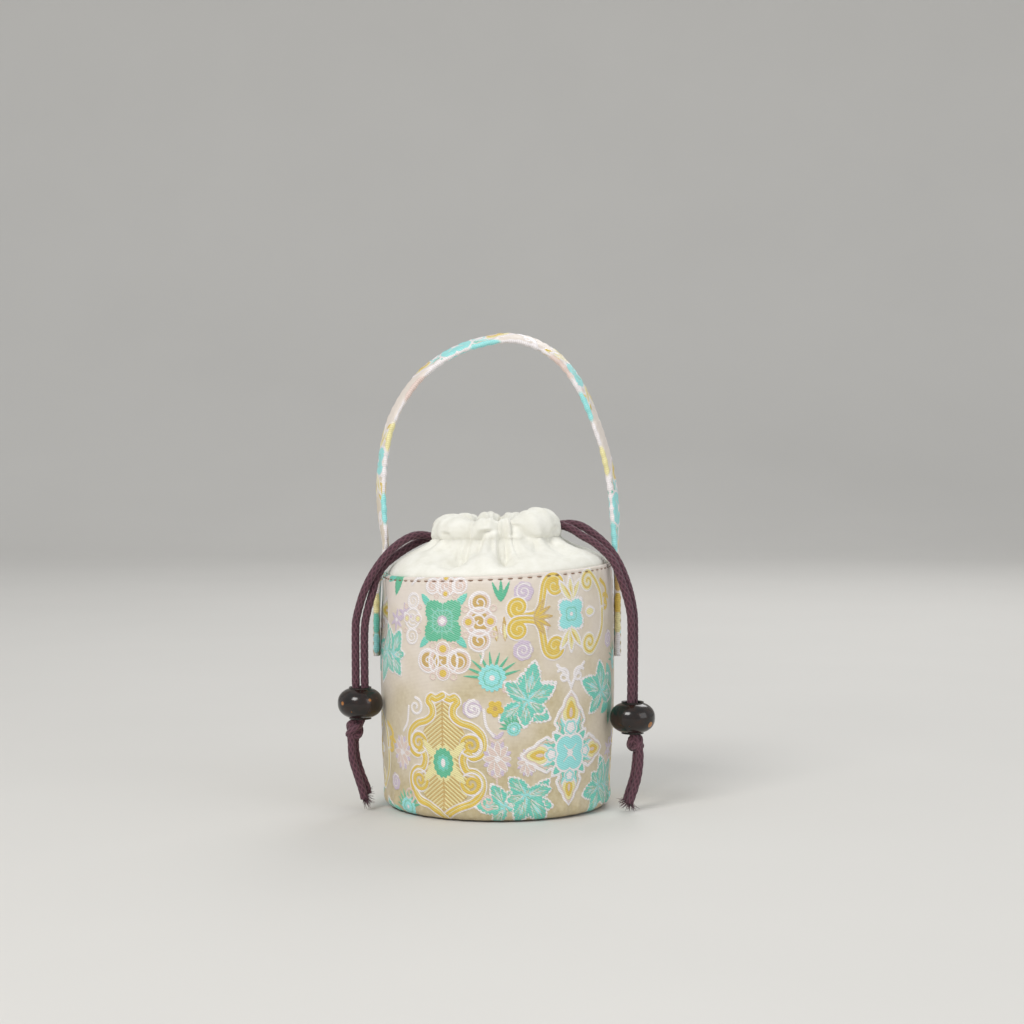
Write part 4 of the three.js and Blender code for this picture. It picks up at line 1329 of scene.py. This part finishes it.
@dataclass
class BrocadeWall:
    """Front and back panels, each with a hem folded in at the rim, and their stitches."""

    wardrobe: Wardrobe
    seam: float = 82.0
    cloth: float = 0.8
    hem: float = 0.7
    stitch_drop: float = 1.7
    stitch_pitch: float = 4.4
    seam_gap: float = 0.15
    seam_turn: float = 0.55
    groove: float = 0.3
    tug: float = 0.16
    float_lift: float = 0.13
    inside_foot: float = 47.6
    top: float = 106.0

    def slack(self, angle: Array, z: Array) -> Array:
        """How far the cloth stands out of its plain form where it is loose or puckered."""
        a = np.radians(angle)
        waves = 0.28 * (1 + np.sin(3 * a + z / 17)) * 0.5 + 0.22 * (1 + np.sin(7 * a - z / 11 + 1.2)) * 0.5
        waves = waves * smooth(z, 4, 25) * (1 - smooth(z, 88, 103))
        gathers = 0.5 + 0.5 * np.sin(43 * a + 1.4 * np.sin(5 * a)) * np.cos(9 * a)
        foot = 1.15 * gathers * bell(z, 4.2, 4.2)
        return waves + foot + FORM.dent(angle, z)

    def profile(self, rows: int) -> tuple[Array, Array, Array]:
        """Closed section of a panel: distance in from the wall, height, and cloth up from the foot."""
        outer = np.linspace(0.4, self.top, rows)
        roll = np.radians(np.linspace(0, 180, 9)[1:-1])
        thick = self.cloth + self.hem
        inner = np.linspace(97.0, 5.4, 26)
        fold = np.linspace(self.top, 98.6, 8)
        deep = np.concatenate(
            [0 * outer, thick / 2 * (1 - np.cos(roll)), thick + 0 * fold, [self.cloth], self.cloth + 0 * inner]
        )
        height = np.concatenate([outer, self.top + 0.1 + 0.95 * np.sin(roll), fold, [98.1], inner])
        along = np.concatenate([outer, self.top + roll, 110 + (self.top - fold), [119], 122 + (97 - inner)])
        return deep, height, along

    def panel(
        self, name: str, start: float, end: float, rows: int, columns: int, shift: float, repeats: Sequence[int]
    ) -> None:
        """Makes a panel.

        Args:
            name: the piece's and the replaced node's name.
            start: its first side, in degrees from the front.
            end: its other side.
            rows: rows of corners up the outside.
            columns: corners across.
            shift: place of the design's first column, in millimetres from the panel's middle.
            repeats: the design's half repeats to paint.
        """
        deep, height, along = self.profile(rows)
        gap = math.degrees(self.seam_gap / FORM.radius)
        a, z = np.meshgrid(np.linspace(start + gap, end - gap, columns), height)
        d, flat = deep[:, None] + 0 * a, along[:, None] + 0 * a
        face = d < 0.05
        across = np.radians(a - (start + end) / 2) * FORM.radius
        weaving = Figured(across, flat)
        weaving.lay(shift, repeats)
        line = self.stitch_line()
        groove = self.groove * bell(z, line, 0.45)
        tug = self.tug * np.cos(TAU * across / self.stitch_pitch) * bell(z, line, 1.8)
        turned = self.seam_turn * bell(np.radians(np.minimum(a - start, end - a)) * FORM.radius, 0, 0.9)
        lift = self.float_lift * weaving.relief().reshape(a.shape)
        r = FORM.wall(z) - d + self.slack(a, z) + (lift + tug - groove - turned) * face
        r = np.where((z < 2.4) & (d > 0.5), np.minimum(r, self.inside_foot), r)
        points = FORM.place(r, a, z).reshape(-1, 3)
        faces = facing_out(points, grid_faces(len(deep), columns, True, False, False))
        for column in (0, columns - 1):
            loop = [k * columns + column for k in range(len(deep))]
            faces.append(loop if column else loop[::-1])
        piece = make_piece(name + "_brocade", points, faces, self.wardrobe.brocade)
        weaving.store(piece)
        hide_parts(name)
        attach(piece, "pouch")
        width = math.radians(end - start) * FORM.radius * MM
        log.info("%s: %d corners", name, len(piece.data.vertices))

    def stitch_line(self) -> float:
        """Height of the topstitching before the rim's tilt."""
        return FORM.rim - self.stitch_drop

    def stitches(self, name: str, start: float, end: float) -> None:
        """Makes the topstitches of a panel, half sunk in the cloth."""
        run = BraidedRun(**STITCH)
        step = math.degrees(self.stitch_pitch / FORM.radius)
        swept = []
        for middle in np.arange(start + step / 2, end, step):
            a = middle + np.linspace(-0.3, 0.3, 5) * step
            arch = np.array([-0.45, -0.02, 0.1, -0.02, -0.45])
            z = self.stitch_line() + 0 * a
            r = FORM.wall(z) + self.slack(a, z) - 0.1 + arch
            swept.append(run.sweep(FORM.place(r, a, z), lambda t: 0.6 + 0.4 * np.sin(np.pi * t))[:2])
        piece = merge_grids(name, swept, self.wardrobe.rim_thread)
        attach(piece, "pouch")
        log.info("%s: %d stitches", name, len(swept))

    def build(self) -> None:
        """Makes both panels and their stitches."""
        self.panel("front_panel", -self.seam, self.seam, 210, 290, -24.1, (-2, -1, 0, 1))
        self.panel("back_panel", self.seam, 360 - self.seam, 190, 330, -71.5, (-1, 0, 1, 2, 3))
        self.stitches("rim_stitches_front", -self.seam, self.seam)
        self.stitches("rim_stitches_back", self.seam, 360 - self.seam)


@dataclass
class InnerLayers:
    """Interlining, lining, base cover and board."""

    wardrobe: Wardrobe
    columns: int = 160

    def turned(self, name: str, profile: Sequence[Point], finish: Material, capped: bool) -> Piece:
        """Makes a round piece from a section of (radius, height). Plain ones take the wall's dent."""
        section = np.array(profile, float)
        a, r = np.meshgrid(360 * np.arange(self.columns) / self.columns, section[:, 0])
        z = section[:, 1][:, None] + 0 * a
        plain = finish is not self.wardrobe.brocade
        if plain:
            r = r + FORM.dent(a, z)
        points = FORM.place(r, a, z)
        piece = grid_piece(name, points, finish, wrap_rows=not capped, wrap_columns=True, capped=capped)
        if plain:
            keep_values(piece, across=np.radians(a) * FORM.radius, along=z + FORM.radius - r)
        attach(piece, "pouch")
        return piece

    def build(self) -> None:
        """Makes the interlining, the lining and the base cover, and gives the board its finish."""
        up = np.linspace(5.4, 95.1, 30)
        shell = [(FORM.wall(z) - 1.3, z) for z in up] + [(FORM.wall(z) - 2.5, z) for z in up[::-1]]
        felt = self.turned("wall_interlining", shell, self.wardrobe.felt, False)
        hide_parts("wall_stiffener")
        high = np.linspace(9, 105.1, 34)
        corner = float(FORM.wall(9.0)) - 3.3
        under = [(0.05, 3.4), (corner - 4.2, 3.4), (corner - 1.2, 5.0)]
        over = [(corner - 1.9, 5.5), (corner - 4.6, 4.0), (20.0, 4.0), (0.05, 4.0)]
        outer = [(FORM.wall(z) - 3.3, z) for z in high]
        inner = [(FORM.wall(z) - 3.9, z) for z in high[::-1]]
        lining = self.turned("cotton_lining", [*under, *outer, *inner, *over], self.wardrobe.lining, True)
        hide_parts("lining")
        disc_rows = [(0.05, 0.05), (14, 0.0), (28, 0.0), (40, 0.0), (45.2, 0.02), (46.2, 0.25), (46.55, 0.5),
                     (46.1, 0.8), (40, 0.8), (20, 0.8), (0.05, 0.8)]
        cover = self.turned("base_brocade", disc_rows, self.wardrobe.brocade, True)
        points = np.array([v.co for v in cover.data.vertices]) / MM
        weaving = Figured(points[:, 0], points[:, 1] + 54)
        weaving.lay(0.0, (0,))
        weaving.store(cover)
        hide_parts("base_cover")
        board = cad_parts["base_board"]
        board.data.materials.clear()
        board.data.materials.append(self.wardrobe.board)
        log.info("inner layers done")


@dataclass
class GatheredMouth:
    """Cotton shoulder and hemmed casing, drawn together on the two cords."""

    wardrobe: Wardrobe
    cloth: float = 0.8
    neck: float = 22.0
    mid: float = 123.4
    slit: Point = (7.5, 14.0)
    cord_clear: float = 2.9
    flat_radius: float = 52.0
    lobe_out: float = 5.7
    lobe_in: float = 4.6
    lobe_up: float = 2.9
    fold_drop: float = 3.6
    columns: int = 620
    puffs: tuple = (
        (-90, 0), (-27, 0.95), (2, 0.7), (15, 0.55), (90, 1), (122, 0.8), (147, 0.9), (176, 0.75), (204, 0.95),
        (236, 0.85), (270, 0.9),
    )
    folds: tuple = (
        (3.2, 2.8, ((131, 7), (118, 7), (108.5, 6.5))),
        (2.6, 4.2, ((126, -8), (121, -15), (118, -21), (113, -27), (109.5, -31))),
        (1.9, 4.2, ((128, 17), (123.5, 25), (119, 37))),
        (-1.6, 4.5, ((125, -1), (118, -3), (109, -6))),
        (-1.4, 5.0, ((123, 15), (118, 18), (109, 23))),
        (1.6, 5.0, ((126, 60), (119, 52), (110, 44))),
        (1.4, 4.5, ((125, -50), (119, -44), (111, -40))),
        (1.8, 5.0, ((126, 160), (119, 152), (110, 145))),
        (1.8, 5.0, ((126, 205), (119, 212), (110, 220))),
    )
    long_creases: tuple = (
        (-46, -14, 0.25), (-62, -10, 0.2), (-14, 10, 0.3), (34, -16, 0.25), (52, 12, 0.2), (66, 14, 0.3),
        (8, -3, 0.1), (105, 9, 0.2), (160, -9, 0.2), (220, 10, 0.25), (252, 8, 0.2),
    )
    shoulder: tuple = (
        (49.9, 96.1, 0), (49.4, 105.6, 0), (49.1, 108.0, 0), (46.8, 110.8, 0.1), (42.2, 113.4, 0.3),
        (36.4, 115.5, 0.6), (32.8, 117.0, 0.85), (30.2, 118.7, 1.0),
    )

    def swell(self, angle: Array) -> Array:
        """How far a puff stands out at each angle, from 0 in a fold to its size."""
        out = np.zeros_like(angle)
        for (start, _), (end, size) in zip(self.puffs, self.puffs[1:]):
            t = (angle - start) / (end - start)
            inside = (t >= 0) & (t <= 1)
            out[inside] = size * (1 - np.abs(2 * t[inside] - 1) ** 2.6)
        return out

    def creases(self, angle: Array, share: Array) -> Array:
        """Depth of the small creases that run down the shoulder out of the folds."""
        depth = np.zeros(np.broadcast(angle, share).shape)
        rng = np.random.default_rng(11)
        for fold_angle, _ in self.puffs[1:]:
            for _ in range(4):
                start = fold_angle + rng.normal(0, 3.5)
                drift = rng.normal(0, 9)
                middle = start + drift * (1 - share)
                depth += rng.uniform(0.5, 1.3) * bell(angle, middle, 1.6 + 2.6 * (1 - share)) * share**0.7
        for start, drift, low in self.long_creases:
            middle = start + drift * (1 - share)
            reach = np.clip((share - low) / (1 - low), 0, 1)
            depth += 1.15 * bell(angle, middle, 2.2 + 2.5 * (1 - share)) * reach
        return depth

    def drawn_folds(self, angle: Array, z: Array) -> Array:
        """How far the large drawn folds push the cloth in (or out, below 0) at an angle and height."""
        depth = np.zeros(np.broadcast(angle, z).shape)
        for deep, width, path in self.folds:
            row = np.array(path, float)
            middle = np.interp(z, row[::-1, 0], row[::-1, 1])
            ends = smooth(z, row[-1, 0], row[-1, 0] + 3) * (1 - smooth(z, row[0, 0] - 1.5, row[0, 0]))
            wide = width * (1 + 0.07 * np.clip(row[0, 0] - z, 0, 16))
            depth = depth + deep * bell(angle, middle, wide) * ends
        return depth

    def pleats(self, angle: Array) -> Array:
        """Height of the uneven pleats that the cords draw in."""
        a = np.radians(angle)
        wave = np.sin(19 * a + 2.2 * np.sin(3 * a) + 1.3 * np.sin(7 * a + 1))
        return 1.15 * np.sign(wave) * np.abs(wave) ** 1.3 * (0.75 + 0.25 * np.sin(5 * a + 2))

    def section(self, angle: Array) -> tuple[Array, Array, Array]:
        """Closed section at each angle: radius, height and length of cloth, one row for each of its points."""
        swell = self.swell(angle)
        side = np.abs((angle + 180) % 180 - 90)
        slit = 1 - smooth(side, *self.slit)
        line = smooth_line(self.shoulder, 46)
        r0, z0, share = line[:, 0][:, None], line[:, 1][:, None], np.clip(line[:, 2], 0, 1)[:, None]
        shadow = 1 - 0.15 * np.sin(np.radians(angle) * 3)
        pleats = self.pleats(angle) * (1 - slit)
        drop = self.fold_drop * (1 - swell) * share * shadow + self.creases(angle, share) * (1 - 0.6 * slit)
        drop = drop - 2.2 * swell * share * (1 - slit) - pleats * share**1.4 + 1.6 * slit * share
        soft = 0.5 * np.sin(np.radians(angle) * 9 + 4 * share) * share * (1 - share)
        pushed = self.drawn_folds(angle, z0 + 0 * angle) * (1 - slit) * smooth(share, 0.02, 0.3)
        upper_r = r0 + 0 * angle - 0.4 * pushed
        upper_z = z0 - drop + soft - 0.85 * pushed
        slope_r, slope_z = unit(np.gradient(line[:, :2], axis=0)).T[..., None]
        under_r, under_z = upper_r - self.cloth * slope_z, upper_z + self.cloth * slope_r
        inward = 3.5 + self.lobe_in * swell
        high = 2.8 * bell(angle, 52, 26)
        up, down = 4.925 + self.lobe_up * swell + high, 4.6
        turn = np.radians(np.linspace(-30, 238, 64))[:, None]
        c, s = np.cos(turn), np.sin(turn)
        a = np.radians(angle)
        past_exit = np.where(np.sin(a) < 0, s, -s)
        opened = slit * (1 - smooth(past_exit, 0.0, 0.45))
        out = 3.5 + self.lobe_out * swell - 4.6 * opened - 1.3 * bell(angle, -6, 13)
        pucker = 0.35 * np.sin(31 * a + 2 * np.sin(4 * a)) * (0.35 + 0.65 * np.abs(s)) * (1 - slit)
        dimple = 0.9 * bell(turn, 2.2, 0.5) * np.sin(13 * a + 1) * swell
        plump = np.sign(c) * np.abs(c) ** 0.86
        below = np.clip(0.55 - s, 0, 1)
        case_r = self.neck + np.where(c > 0, out, inward) * plump + (pucker + 0.8 * pleats * below) * c
        rise = np.where(s > 0, up, down) * np.sign(s) * np.abs(s) ** 0.9
        case_z = self.mid + rise + pucker * s * 0.7 + dimple * 0.5
        case_r = case_r - self.drawn_folds(angle, case_z) * np.clip(c, 0, 1) * (1 - slit)
        clear_of_cord = self.neck + (self.cord_clear - 4.2 * opened) * plump
        case_r = np.where(c > 0, np.maximum(case_r, clear_of_cord), case_r)
        r = np.vstack([upper_r, case_r, under_r[::-1]])
        z = np.vstack([upper_z, case_z, under_z[::-1]])
        step = np.hypot(np.diff(r, axis=0), np.diff(z, axis=0)).mean(1)
        along = np.concatenate([[0], np.cumsum(step)])[:, None] + 0 * angle
        return r, z, along

    def build(self) -> None:
        """Makes the mouth in place of its plain solid."""
        angle = -90 + 360 * np.arange(self.columns) / self.columns
        r, z, along = self.section(angle)
        a = angle + 0 * r
        piece = grid_piece("gathered_cotton", FORM.place(r, a, z), self.wardrobe.cotton, True, True)
        keep_values(piece, across=np.radians(a) * self.flat_radius, along=along)
        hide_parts("gathered_top")
        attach(piece, "pouch")
        log.info("gathered_cotton: %d corners", len(piece.data.vertices))


@dataclass
class HandleStrap:
    """Flat brocade strap, folded with pale edges and sewn down at both feet."""

    wardrobe: Wardrobe
    width: float = 9.0
    thick: float = 2.8
    twist: float = 20.0
    foot: float = 54.3
    stations: int = 460
    line: tuple = (
        (-54.3, 67.1), (-54.3, 79.1), (-54.2, 93.1), (-53.4, 103.1), (-51.4, 109.5), (-50.2, 115), (-50.6, 121),
        (-51.6, 129), (-52.2, 142), (-51.3, 155), (-48.6, 169), (-42.8, 182), (-32.4, 195), (-18.9, 204),
        (-7.7, 208), (5.4, 210), (17, 207.5), (28.4, 200), (37.4, 188), (44, 173), (49, 157.5), (52, 142),
        (53.1, 128), (53.2, 118), (53.8, 110), (54.3, 103.1), (54.3, 91.1), (54.3, 79.1), (54.3, 67.1),
    )

    def frames(self) -> tuple[Array, Array, Array]:
        """Middle line, direction across the strap and direction through it."""
        line = smooth_line([(x, 0, z) for x, z in self.line], self.stations)
        along = unit(np.gradient(line, axis=0))
        normal = np.stack([-along[:, 2], 0 * along[:, 0], along[:, 0]], axis=-1)
        turn = np.radians(self.twist) * smooth(line[:, 2], 109.1, 133.1)
        across = np.cos(turn)[:, None] * np.array([0, 1, 0]) + np.sin(turn)[:, None] * normal
        return line, across, np.cross(across, along)

    def design(self, cloth: Figured, length: float) -> None:
        """Paints what the narrow strip of brocade shows of its design, and the pale selvedge at its edges."""
        run = cloth.along
        cloth.along = run % cloth.repeat
        cloth.lay(-56.5, (1,))
        cloth.along = run
        for side in (-1, 1):
            edge = lambda u, v, s=side: s * u - 4.1 + 0.2 * np.sin(v / 3.1)
            cloth.paint((WHITE, (edge, (-20.0, 0.0, 20.0, length))))
        washes = ((70, AQUA), (103, CREAM), (128, ROSE), (167, AQUA),
                  (206, ROSE), (228, AQUA), (254, CREAM), (289, AQUA))
        for at, thread in washes:
            for side in (-1, 1):
                cloth.paint((thread, disc(side * 4.5, at + 3 * side, 1.1, 7.0)))
        near = ((6, AQUA), (15, MINT), (24, CREAM), (33, WHITE))
        far = ((length - 34, OCHRE), (length - 24, GOLD), (length - 15, CREAM), (length - 6, WHITE))
        for at, thread in (*near, *far):
            for side in (-1, 1):
                cloth.paint((thread, disc(side * 4.8, at, 1.9, 4.8)))

    def build(self) -> None:
        """Makes the strap in place of its plain solid, and its foot stitches."""
        line, across, through = self.frames()
        half, t = self.width / 2, self.thick / 2
        u = np.linspace(-1, 1, 20)
        crown = t * (0.72 + 0.28 * (1 - u**4)) * (1 - 0.72 * np.abs(u) ** 9)
        section = np.array([*zip(u * half, crown), *zip(u[::-1] * half, -crown[::-1])])
        run = np.linspace(0, run_of(line)[-1], len(line))
        s, b = np.meshgrid(run, section[:, 1], indexing="ij")
        a = 0 * s + section[:, 0]
        upper = np.sign(section[:, 1]) + 0 * s
        pinch = 1 + 0.035 * np.sin(TAU * s / 13) + 0.03 * np.sin(TAU * s / 5.3 + 1) * np.sign(a)
        ruck = 0.14 * np.sin(TAU * s / 4.2 + a) * smooth(np.abs(a), 1.5, 4.2)
        weaving = Figured(a, s)
        self.design(weaving, run[-1])
        lift = (0.1 * weaving.relief()).reshape(s.shape)
        out = b + upper * (ruck + lift)
        grid = line[:, None] + across[:, None] * (a * pinch)[..., None] + through[:, None] * out[..., None]
        piece = grid_piece("brocade_strap", grid, self.wardrobe.brocade, wrap_columns=True, capped=True)
        weaving.store(piece)
        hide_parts("handle_strap")
        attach(piece, "pouch")
        log.info("brocade_strap: %.0f mm long", run[-1])
        self.foot_stitches()

    def foot_stitches(self) -> None:
        """Makes the small stitches along both feet of the strap."""
        run = BraidedRun(**STITCH)
        swept = []
        for side in (-1, 1):
            x = side * (self.foot + self.thick / 2 - 0.12)
            marks = [((y, z), (y, z + 1.9)) for y in (-3.4, 3.4) for z in np.arange(68.6, 98, 3.4)]
            marks += [((y, 68.4), (y + 1.9, 68.4)) for y in (-2.9, 1.0)]
            for (y0, z0), (y1, z1) in marks:
                middle = (x + side * 0.12, (y0 + y1) / 2, (z0 + z1) / 2)
                swept.append(run.sweep([(x - side * 0.2, y0, z0), middle, (x - side * 0.2, y1, z1)])[:2])
        piece = merge_grids("foot_stitches", swept, self.wardrobe.pale_thread)
        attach(piece, "pouch")
        log.info("foot_stitches: %d", len(swept))


@dataclass
class LooseThread:
    """Small loop of cream thread that stands out of the rim at the left seam."""

    wardrobe: Wardrobe

    def build(self) -> None:
        """Makes the loop."""
        out = [(-50.6, -9.6, 104.4), (-52.3, -10.6, 104.9), (-53.1, -11.2, 103.4)]
        back = [(-52.4, -11.4, 101.8), (-51.2, -11.0, 102.6)]
        swept = BraidedRun(radius=0.42, sides=8, step=0.3, strands=1).sweep([*out, *back])[:2]
        piece = merge_grids("loose_thread", [swept], self.wardrobe.pale_thread)
        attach(piece, "pouch")


def main() -> None:
    """Builds the pouch piece by piece."""
    studio = Studio()
    studio.place_camera()
    wardrobe = Wardrobe()
    Drawstrings(wardrobe).build()
    BrocadeWall(wardrobe).build()
    InnerLayers(wardrobe).build()
    GatheredMouth(wardrobe).build()
    HandleStrap(wardrobe).build()
    LooseThread(wardrobe).build()
    studio.build(wardrobe)


if __name__ == "__main__":
    main()
